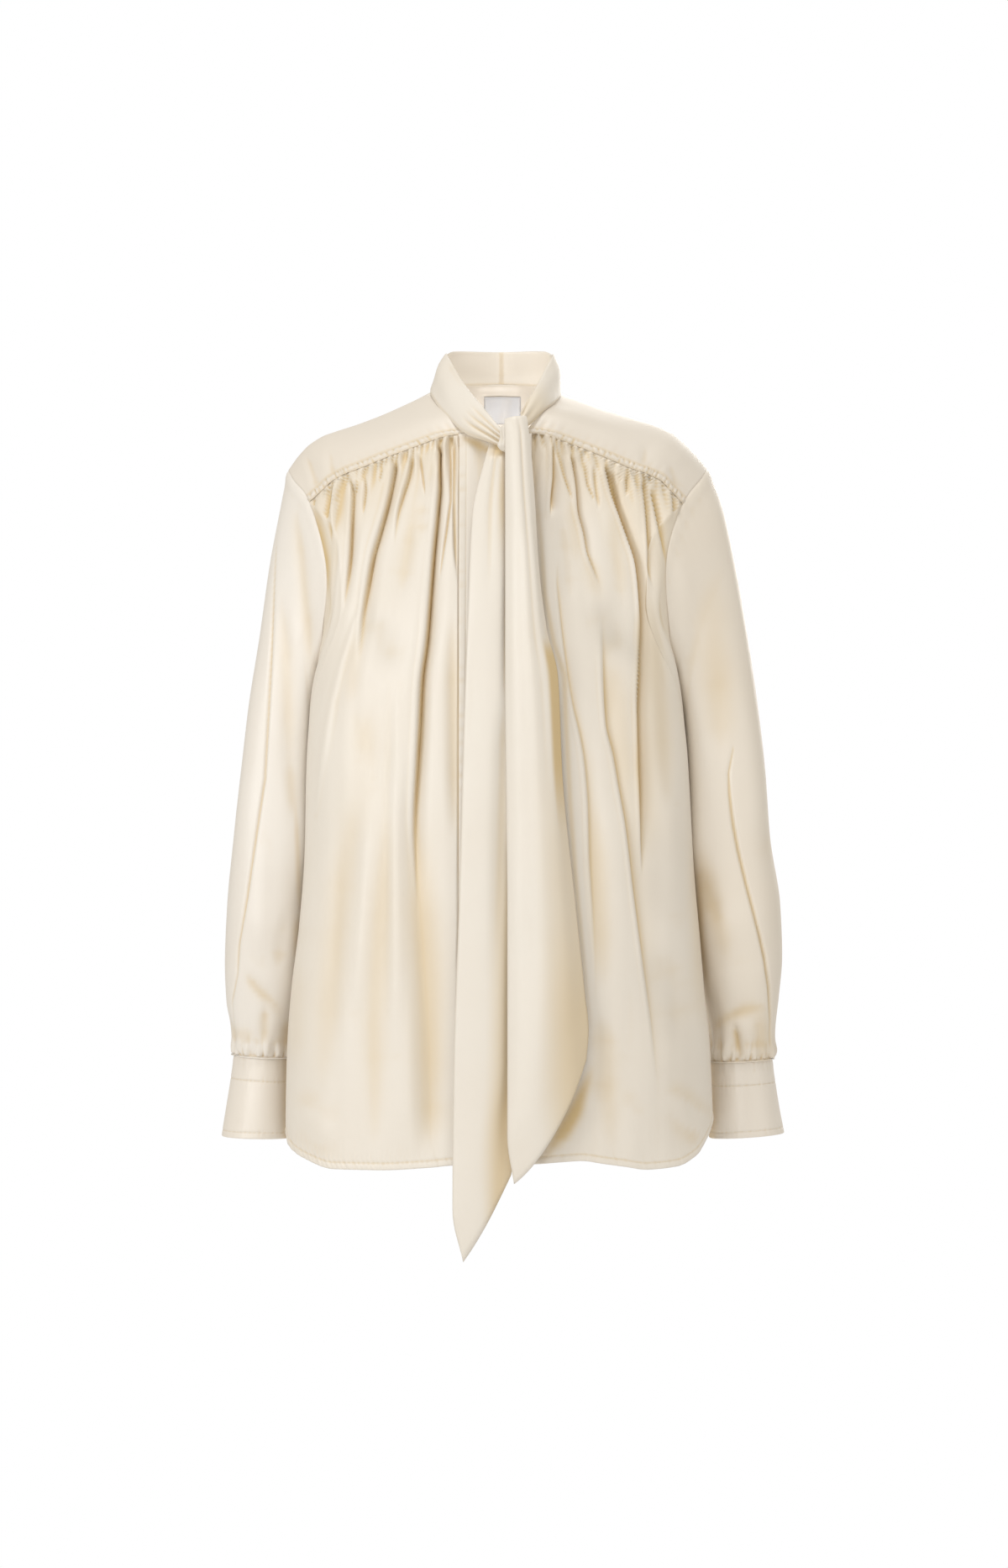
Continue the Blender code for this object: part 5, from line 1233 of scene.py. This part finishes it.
cuffNames = ("v",) + hoopNames
cuffRings = {
    right: (cuffNames, [
        (0.0, -254.5, -636.5, -199, -640, 22, 37), (0.3, -257, -656, -199, -660, 22, 38),
        (0.6, -261, -681, -199, -684, 22, 40), (1.0, -266, -712, -198.5, -713.5, 22, 42)]),
    left: (cuffNames, [
        (0.0, 260.5, -640.5, 201, -644, 22, 37), (0.3, 263.5, -661, 201, -664, 22, 38),
        (0.6, 267.5, -686, 200.5, -688, 22, 40), (1.0, 272, -709, 200, -714, 22, 42)])}
# rows of the grid that lie close at the edges and stitches, and how far down they are
cuffRows = ((0, 3, 11, 22, 32, 42, 49), (0, 0.015, 0.22, 0.33, 0.86, 0.96, 1))
cuffSet = {"columns": 150, "rows": 50, "wall": 1.7, "upper": 20.0, "lower": 6.0, "seam": 168,
           "seed": {right: 101, left: 121}, "innerX": 200, "tuck": (3.6, -0.5), "lift": 0.16}


def closedUp(grid):
    return np.concatenate([grid, grid[:, :1]], 1)


def makeCuff(side):
    s, seed, name = cuffSet, cuffSet["seed"][side], "cuff" + sideNames[side]
    turn = np.arange(s["columns"]) * 360.0 / s["columns"]
    tt, vv = np.meshgrid(turn, np.interp(np.arange(s["rows"]), *cuffRows))
    p = hoop(tt, *[column(cuffRings[side], n, vv) for n in hoopNames], power=0.95)
    out = outward(p, fromMiddle(p), closed=True)
    fromTop = running(p)
    toEdge, ripple = fromTop[-1] - fromTop, tt / 360
    upper, lower = fromTop - s["upper"], toEdge - s["lower"]
    height = 0.25 * bell(fromTop - 2.5, 2.5)
    height -= 0.5 * bell(upper, 1.0) + 0.45 * bell(lower, 1.0)
    height += 0.26 * ringWaves(ripple, seed, 24, 50) * (bell(upper, 5) + bell(lower, 5))
    height += 0.5 * ringWaves(ripple, seed + 1, 3, 7) * step(0, 12, fromTop) * step(0, 14, toEdge)
    height += 0.3 * ringWaves(ripple, seed + 2, 18, 40) * fall(2, 14, fromTop)
    height -= 0.5 * bell(turnFrom(tt, s["seam"]), 1.3)
    p = p + out * height[..., None]
    full = tucked(p, out, *s["tuck"], rows=2)
    # painted shade on the cuff's front beside the body, which shades it
    beside = bell(p[..., 0] - side * s["innerX"], 6) * (tt < 200)
    item = shell(name, full, s["wall"], fromMiddle(full), cloths["cuff"], closed=True, soften=1.1,
                 shade=0.6 * beside)
    lines, places = [], np.arange(s["columns"] + 1)
    for far in (closedUp(upper), closedUp(-lower)):
        rows = [np.interp(0, far[:, c], np.arange(len(p))) for c in places]
        lines.append(readGrid(closedUp(p), rows, places, closedUp(out), s["lift"]))
    return item, stitch("stitchesCuff" + sideNames[side], lines)


for side, half in ((right, "right"), (left, "left")):
    item = makeSleeve(side)
    asSheet(item, "sleeve_" + half, flat=(0.40, 0.58), held="gathered",
            rests_on=["yoke", "cuff_" + half], area=0.19)
    item, sewn = makeCuff(side)
    asSheet(item, "cuff_" + half, flat=(0.21, 0.076), held="stretched", rests_on=["sleeve_" + half],
            with_pieces=[sewn])


# placket: the front band that covers the buttons

placketSet = {"columns": 46, "rows": 170, "wall": 1.3, "left": -38.0, "right": 30.0, "topZ": -46.3,
              "footZ": -729.0, "edge": 6.5, "middle": -2, "below": 0.4, "stitches": 420, "lift": 0.16}
# painted shadow of the crossing on the placket's top: strength, width, points
placketShades = [(0.75, 3.5, (-38, -50), (-22, -57), (-6, -66), (4, -74))]  # under the crossing


def makePlacket():
    s = placketSet
    wide, n, e = s["right"] - s["left"], s["columns"], s["edge"]
    places = (0, e - 2.5, e + 2.5, wide - e - 2.5, wide - e + 2.5, wide)
    across = s["left"] + np.interp(np.arange(n), (0, 5, 15, n - 16, n - 6, n - 1), places)
    t = np.linspace(0, 1, s["rows"])
    xx, vv = np.meshgrid(across, 0.35 * t + 0.65 * t ** 1.5)
    zz = s["topZ"] + (s["footZ"] - s["topZ"]) * vv
    share = np.abs(xx - s["middle"]) / hang["halfFront"]
    a, b = bodyRound(right, share, zz), bodyRound(left, share, zz)
    y = np.where(xx < s["middle"], a[..., 1], b[..., 1]) - s["below"]
    p = vec(xx, y, zz + (track(xx, *hemFront) - s["footZ"]) * vv)
    far, drop = np.minimum(xx - s["left"], s["right"] - xx), s["topZ"] - zz
    height = -0.32 * bell(far - s["edge"], 0.9)
    height += 0.5 * waves(zz * 0.02 + xx * 0.01, 141, 0.6, 1.6) * step(0, 10, far)
    height += 0.25 * waves(zz, 143, 0.3, 0.7) * bell(far - 3, 4)
    pulled = np.sin((xx + 20) * 0.32 + zz * 0.03) * np.exp(-drop / 40)
    height += 0.8 * pulled * step(0, 8, far) * step(4, 12, drop)
    p = p + forward * height[..., None]
    shade = strokes(placketShades, xx, zz, 1.0)[1]
    item = shell("placket", p, s["wall"], forward, cloths["body"], soften=0.8, shade=shade)
    rows, out = np.linspace(6, s["rows"] - 4, s["stitches"]), np.broadcast_to(forward, p.shape)
    lines = [readGrid(p, rows, c, out, s["lift"]) for c in (10.0, n - 11.0)]
    return item, stitch("placketStitches", lines, pitch=2.6)


item, sewn = makePlacket()
asSheet(item, "placket", flat=(0.07, 0.70), held="hung", rests_on=["front_right", "front_left"],
        with_pieces=[sewn])


# collar band, tie tails and their crossing

collarNames = ("u", "lowX", "lowY", "lowZ", "topX", "topY", "topZ", "belly")
collarPosts = (collarNames, [
    (0.00, 5.5, -95, -63, 7.0, -96, -50, 0.5), (0.05, -11, -90, -56.5, -5, -89, -36, 3),
    (0.11, -31.5, -78.5, -48.5, -18, -72, -19, 4), (0.19, -48.5, -57.8, -32, -31, -52, -2, 3.5),
    (0.28, -60.5, -32.3, -17, -43.5, -26, 18.5, 3), (0.35, -66.5, -4, -4.8, -51.5, 1, 34.5, 2.5),
    (0.42, -63.5, 30, 1.2, -51.5, 31, 36, 2), (0.45, -54, 44, 4, -45, 42, 39.6, 2),
    (0.49, -38, 57, 5.7, -31, 51, 40.4, 2),
    (0.55, 1.5, 68.5, 7.7, 1.5, 61, 40.5, 2), (0.61, 36, 57, 5.7, 29, 51, 40.4, 2),
    (0.64, 49, 44, 3.5, 43.5, 42, 39.4, 2),
    (0.67, 56.5, 30, 0.7, 50.5, 31, 35.6, 2), (0.74, 58.5, -4, -5.5, 52, 1, 33.5, 2.5),
    (0.81, 53.5, -32.3, -14.8, 44, -26, 17.5, 3), (0.89, 42, -57.4, -25.3, 33, -51, -3, 3.5),
    (0.95, 28, -75.5, -39.8, 25, -68, -18, 3), (1.00, 18, -87, -47, 21.5, -78, -27, 1)])
collarSet = {"columns": 260, "rows": 30, "wall": 2.0, "middle": 0.55, "length": 385, "inside": -2.15,
             "zigzag": 34, "zigzagHalf": 0.9, "seamStitches": 120}
collarFolds = ((0.24, 0.9, 2.4), (0.5, 0.5, 2.0), (0.74, 0.2, 1.6))  # place, slant and depth


def makeCollar():
    s = collarSet
    uu, vv = np.meshgrid(np.linspace(0, 1, s["columns"]), np.linspace(0, 1, s["rows"]))
    low = columns(collarPosts, ("lowX", "lowY", "lowZ"), uu)
    top = columns(collarPosts, ("topX", "topY", "topZ"), uu)
    belly = column(collarPosts, "belly", uu) * 4 * vv * (1 - vv)
    p = low + (top - low) * vv[..., None]
    p = p + unit(fromAxis(p)) * belly[..., None]
    out = outward(p, fromAxis(p))
    # pulled folds where the band runs into the tie
    tight = fall(0.02, 0.20, uu) * fall(0.09, 0.17, uu)
    inside = step(0, 0.1, vv) * fall(0.92, 1, vv)
    fromBack, height = (uu - s["middle"]) * s["length"], 0.0 * uu
    for place, slant, deep in collarFolds:
        height -= deep * bell(vv - place - slant * uu, 0.055) * tight
        height += 0.45 * deep * bell(vv - place + 0.13 - slant * uu, 0.07) * tight
    height -= 0.5 * bell(fromBack, 0.8) + 0.4 * bell(vv - 0.06, 0.03)
    roll = np.sin(fullTurn * (1.3 * vv - 2.2 * uu) + 0.4) * step(0.1, 0.3, uu) * fall(0.8, 0.95, uu)
    height += 0.6 * roll * inside
    height += 0.6 * np.sin(fullTurn * (2.1 * vv + 3 * uu)) * inside * step(0.86, 0.98, uu)
    height += 0.35 * waves(uu * 60 + vv * 3, 151, 0.2, 0.7) * inside
    p = p + out * height[..., None]
    # painted shade along the centre-back and neck seams, in the pulled folds and over the flap beside the
    # tie
    shade = 0.45 * bell(fromBack, 1.1) + 0.25 * bell(vv - 0.06, 0.03) + 0.2 * tight * (1 - vv)
    shade += 0.34 * step(0.83, 0.92, uu) * (1 - 0.4 * vv)
    item = shell("collarBand", p, s["wall"], fromAxis(p), cloths["tie"], soften=1.0, shade=shade)
    # zigzag down the seam at the centre back and a row along the neck seam, both inside
    n, last, count = s["zigzag"], s["columns"] - 1, s["seamStitches"]
    turns = s["middle"] * last + s["zigzagHalf"] * (-1.0) ** np.arange(n)
    zigzag = readGrid(p, np.linspace(1, s["rows"] - 2, n), turns, out, s["inside"])
    row = readGrid(p, 1.6, np.linspace(0.40, 0.70, count) * last, out, s["inside"])
    return item, stitch("collarStitches", [zigzag, row], pitch=1.5, length=1.3, radius=0.16)


item, sewn = makeCollar()
asSheet(item, "collar_band", flat=(0.42, 0.042), held="stretched", rests_on=["yoke"],
        with_pieces=[sewn])


# the left edge, middle and right edge of a tie down its length
stripNames = ("v", "leftX", "leftY", "leftZ", "midX", "midY", "midZ", "rightX", "rightY", "rightZ")
tailOver = (stripNames, [
    (0.00, 6, -102, -38, 14, -103.5, -36, 22.5, -100.5, -35),
    (0.02, 4.0, -108, -36.5, 14, -110, -33.5, 25, -105.5, -33),
    (0.06, 4.5, -111, -52, 17, -116, -50, 28, -109, -50),
    (0.14, 4.5, -117.5, -100, 19, -126, -100, 33, -116, -100),
    (0.25, 4.5, -128, -170, 23, -139, -170, 39.5, -128, -168),
    (0.34, 4.5, -136, -240, 26, -147, -236, 47, -135, -230),
    (0.40, 4.5, -139, -286, 30, -151, -280, 57.5, -137, -276),
    (0.52, 5.5, -142.5, -385, 35, -154, -380, 62, -138, -370),
    (0.68, 6.5, -144.5, -500, 40, -156, -490, 73, -139, -480),
    (0.84, 6.5, -145, -620, 42, -157, -600, 82, -140, -570),
    (0.93, 6.5, -147, -700, 42, -156, -655, 85, -140, -604),
    (1.00, 13, -146, -746, 48, -153, -704, 83, -141, -632)])
tailUnder = (stripNames, [
    (0.00, -8, -82, -50, 1, -83, -50, 9, -82, -50),
    (0.02, -11, -88, -61, 1, -90, -61, 12, -88, -61),
    (0.05, -14, -97, -72, 1, -101, -72, 15, -97, -72),
    (0.14, -26, -110, -125, 0, -115, -125, 22, -110, -125),
    (0.28, -30, -126, -220, 0, -130, -220, 25, -125, -220),
    (0.45, -34, -133, -340, -2, -138, -340, 26, -132, -340),
    (0.65, -38, -135, -490, -4, -140, -485, 26, -134, -480),
    (0.85, -43, -136, -650, -7, -140, -640, 24, -135, -630),
    (0.95, -44, -136, -770, -13, -140, -718, 16, -135, -690),
    (1.00, -34, -136, -819, -12, -139, -784, 11, -135, -738)])
tailSet = {"columns": 42, "rows": 176, "wall": 1.4, "fullness": 0.78}
# folds: place and slant across, width, depth, and where down the tie they start and end
tails = {
    "tailOver": {"table": tailOver, "seed": 161, "flat": (0.090, 0.72), "folds": [
        (0.62, 0.1, 0.09, 1.6, 0.03, 0.6), (0.4, -0.1, 0.14, 1.2, 0.2, 0.9)]},
    "tailUnder": {"table": tailUnder, "seed": 171, "flat": (0.075, 0.77), "folds": [
        (0.70, -0.25, 0.07, 3.2, 0.01, 0.45), (0.30, 0.1, 0.08, 1.6, 0.01, 0.3),
        (0.66, -0.15, 0.13, 2.6, 0.4, 0.8), (0.84, -0.05, 0.12, 3.0, 0.55, 1.05)]}}


def tailShade(name, tt, z):
    # Painted shade: darker beside the placket and low down, and under the crossing.
    if name == "tailOver":
        shade = step(0.74, 0.84, tt) * step(-236, -258, z) * (0.9 - 0.6 * step(-350, -430, z))
        low = step(0.35, 0.8, tt) * step(-300, -480, z) * (1 + 0.8 * step(-480, -600, z))
        return np.maximum(shade, 0.30 * low)
    shade = 0.62 * step(0.36, 0.75, tt) * step(-300, -520, z)
    shade = shade + 0.5 * bell(tt - 0.55, 0.08) * bell(z + 105, 45)
    return np.maximum(shade, 0.8 * bell(tt - 0.45, 0.3) * fall(-64, -76, z))


def makeTail(name, tail):
    s, t = tailSet, np.linspace(0, 1, tailSet["rows"])
    tt, vv = np.meshgrid(np.linspace(0, 1, s["columns"]), 0.4 * t + 0.6 * t ** 1.5)
    a, m, b = [columns(tail["table"], (k + "X", k + "Y", k + "Z"), vv) for k in ("left", "mid", "right")]
    bend, w = 2 * m - (a + b) / 2, tt[..., None]
    p = (1 - w) ** 2 * a + 2 * w * (1 - w) * bend + w * w * b
    out = outward(p, forward)
    height = 0.0 * tt
    if name == "tailOver":
        # its long edge turns back
        height = -4.2 * step(0.70, 1.0, tt) ** 1.5 * step(0.1, 0.3, vv)
    for place, slant, width, depth, start, end in tail["folds"]:
        fade = step(start - 0.02, start + 0.05, vv) * fall(end - 0.2, end, vv)
        height = height - depth * fade * bell(tt - place - slant * vv, width)
    edge = step(0, 0.12, np.minimum(tt, 1 - tt)) * step(0.05, 0.2, vv)
    height = height + 0.5 * waves(vv * 30 + tt * 2, tail["seed"], 0.3, 1.2) * edge
    p = p + out * height[..., None]
    shade = tailShade(name, tt, p[..., 2])
    return shell(name, p, s["wall"], out, cloths["tie"], soften=0.8, shade=shade)


for name, node in (("tailOver", "tail_over"), ("tailUnder", "tail_under")):
    flat = tails[name]["flat"]
    item = makeTail(name, tails[name])
    asSheet(item, node, flat=flat, held="hung", rests_on=["placket"],
            area=tailSet["fullness"] * flat[0] * flat[1])


# the crossing of the two ties, a closed roll
knotRolls = (("z", "x", "y", "wide", "deep"), [
    (-66.5, 6.0, -99, 1.6, 1.0), (-64.5, 5.4, -99.5, 4.6, 3.6), (-60, 5.0, -100.3, 6.6, 4.6),
    (-54, 6.6, -101, 6.0, 3.8), (-46, 7.2, -101.8, 6.6, 3.8), (-41, 8.2, -102, 5.4, 3.0),
    (-38.2, 9.0, -102, 1.6, 1.0)])
knotSet = {"columns": 60, "rows": 44, "low": -66.5, "high": -38.2, "wall": 1.2, "pleats": 5}


def makeKnot():
    s = knotSet
    turn = np.arange(s["columns"]) * 360.0 / s["columns"]
    tt, zz = np.meshgrid(turn, np.linspace(s["low"], s["high"], s["rows"])[::-1])
    a = np.radians(tt)
    x, y, wide, deep = [column(knotRolls, n, zz) for n in ("x", "y", "wide", "deep")]
    pleat = 1 + 0.10 * np.sin(s["pleats"] * a + (zz + 45) * 0.16) * step(1.6, 4.5, wide)
    p = vec(x + wide * pleat * np.cos(a), y + deep * pleat * np.sin(a), zz)
    return shell("knot", p, s["wall"], fromMiddle(p), cloths["tie"], closed=True)


asSheet(makeKnot(), "knot", flat=(0.036, 0.03), held="folded", rests_on=["collar_band"])


# a plain label inside the neck

labelSet = {"left": -15, "right": 20, "top": 0.055, "low": 0.245, "columns": 30, "rows": 22, "wall": 0.8,
            "inward": (0.0, -0.975, -0.22), "gap": 3.0, "halfRound": 210.0, "middle": 5.0, "stitches": 60,
            "stitchRows": (1, 20), "stitchColumns": (1.2, 27.8), "lift": 0.12}


def makeLabel():
    s = labelSet
    across = np.linspace(s["left"], s["right"], s["columns"])
    xx, vv = np.meshgrid(across, np.linspace(s["top"], s["low"], s["rows"]))
    u = 1 - np.hypot(xx, s["middle"]) / s["halfRound"]
    p = np.where((xx < 0)[..., None], yokePoint(right, u, vv), yokePoint(left, u, vv))
    p[..., 0] = xx
    p = p + np.array(s["inward"]) * s["gap"]
    p[..., 1] += 0.25 * waves(xx * 0.3 + vv * 9, 181, 0.5, 1.5)
    item = shell("label", p, s["wall"], forward, cloths["label"], soften=0.5)
    out, rows = np.broadcast_to(forward, p.shape), np.linspace(*s["stitchRows"], s["stitches"])
    lines = [readGrid(p, rows, c, out, s["lift"]) for c in s["stitchColumns"]]
    return item, stitch("labelStitches", lines, pitch=1.8, length=1.2, radius=0.16)


item, sewn = makeLabel()
asSheet(item, "label", flat=(0.036, 0.027), held="laid", rests_on=["yoke"], with_pieces=[sewn])


# floor, lights and camera

floorSet = {"x": 3.0, "y": 1.0, "z": -1.3, "colour": (0.86, 0.86, 0.86, 1), "rough": 0.8}
middle = (0, 0, -0.4)  # of the blouse, where the lamps aim
# place, aim, size, watts and tone of each lamp
lamps = {
    "key": ((-2.7, -2.9, 0.35), middle, (1.1, 1.4), 32, (0.985, 0.993, 1.0)),
    "fill": ((2.6, -2.8, 0.0), middle, (1.4, 2.0), 6, (1.0, 0.98, 0.96)),
    "front": ((-0.9, -4.3, 0.1), middle, (2.0, 2.0), 27, (1, 1, 1)),
    "top": ((0.0, -0.9, 1.9), (0, 0, 0), (0.8, 0.8), 14, (1, 1, 1)),
    "neck": ((0.0, -0.035, -0.14), (0, 0.075, 0.0), (0.05, 0.05), 0.17, (1.0, 0.985, 0.96)),
    "back": ((0.8, 2.8, 0.8), middle, (2.0, 2.0), 50, (1, 1, 1))}
sky = {"cloth": (1.0, 0.96, 0.885, 1), "clothStrength": 0.66, "seen": (1, 1, 1, 1), "seenStrength": 1.0}
view = {"lens": 120.6, "sensor": 36.0, "near": 0.1, "far": 30.0, "place": (0.004, -5.0, -0.376)}


def makeFloor(s):
    corners = [(-s["x"], -s["y"], s["z"]), (s["x"], -s["y"], s["z"]), (s["x"], s["y"], s["z"]),
               (-s["x"], s["y"], s["z"])]
    mesh = meshFrom("floor", np.array(corners, float), np.array([[0, 1, 2, 3]]))
    paint = bpy.data.materials.new("floor_paint")
    paint.use_nodes = True
    look = paint.node_tree.nodes["Principled BSDF"]
    look.inputs["Base Color"].default_value = s["colour"]
    look.inputs["Roughness"].default_value = s["rough"]
    place("floor", mesh, paint)


def makeLamp(name, where, aim, size, watts, tone):
    light = bpy.data.lights.new(name, "AREA")
    light.shape = "RECTANGLE"
    light.size, light.size_y = size
    light.energy, light.color = watts, tone
    item = bpy.data.objects.new(name, light)
    bpy.context.collection.objects.link(item)
    item.location = where
    item.visible_camera = False
    item.rotation_euler = (Vector(aim) - Vector(where)).to_track_quat("-Z", "Y").to_euler()


def makeWorld(s):
    # A warm grey for the light on the cloth, and white for what the camera sees behind it.
    world = bpy.data.worlds.new("studio")
    world.use_nodes = True
    node, link = world.node_tree.nodes.new, world.node_tree.links.new
    base, white = world.node_tree.nodes["Background"], node("ShaderNodeBackground")
    base.inputs["Color"].default_value = s["cloth"]
    base.inputs["Strength"].default_value = s["clothStrength"]
    white.inputs["Color"].default_value = s["seen"]
    white.inputs["Strength"].default_value = s["seenStrength"]
    which, path = node("ShaderNodeMixShader"), node("ShaderNodeLightPath")
    link(path.outputs["Is Camera Ray"], which.inputs[0])
    link(base.outputs[0], which.inputs[1])
    link(white.outputs[0], which.inputs[2])
    link(which.outputs[0], world.node_tree.nodes["World Output"].inputs["Surface"])
    return world


def makeCamera(s):
    lens = bpy.data.cameras.new("camera")
    lens.sensor_width, lens.lens = s["sensor"], s["lens"]
    lens.clip_start, lens.clip_end = s["near"], s["far"]
    camera = bpy.data.objects.new("camera", lens)
    bpy.context.collection.objects.link(camera)
    camera.location = s["place"]
    camera.rotation_euler = (math.pi / 2, 0, 0)
    return camera


makeFloor(floorSet)
for name, settings in lamps.items():
    makeLamp(name, *settings)
scene = bpy.context.scene
scene.world = makeWorld(sky)
scene.camera = makeCamera(view)
scene.view_settings.view_transform = "Standard"
scene.view_settings.look = "None"
print("studio", len(lamps), "lamps", flush=True)
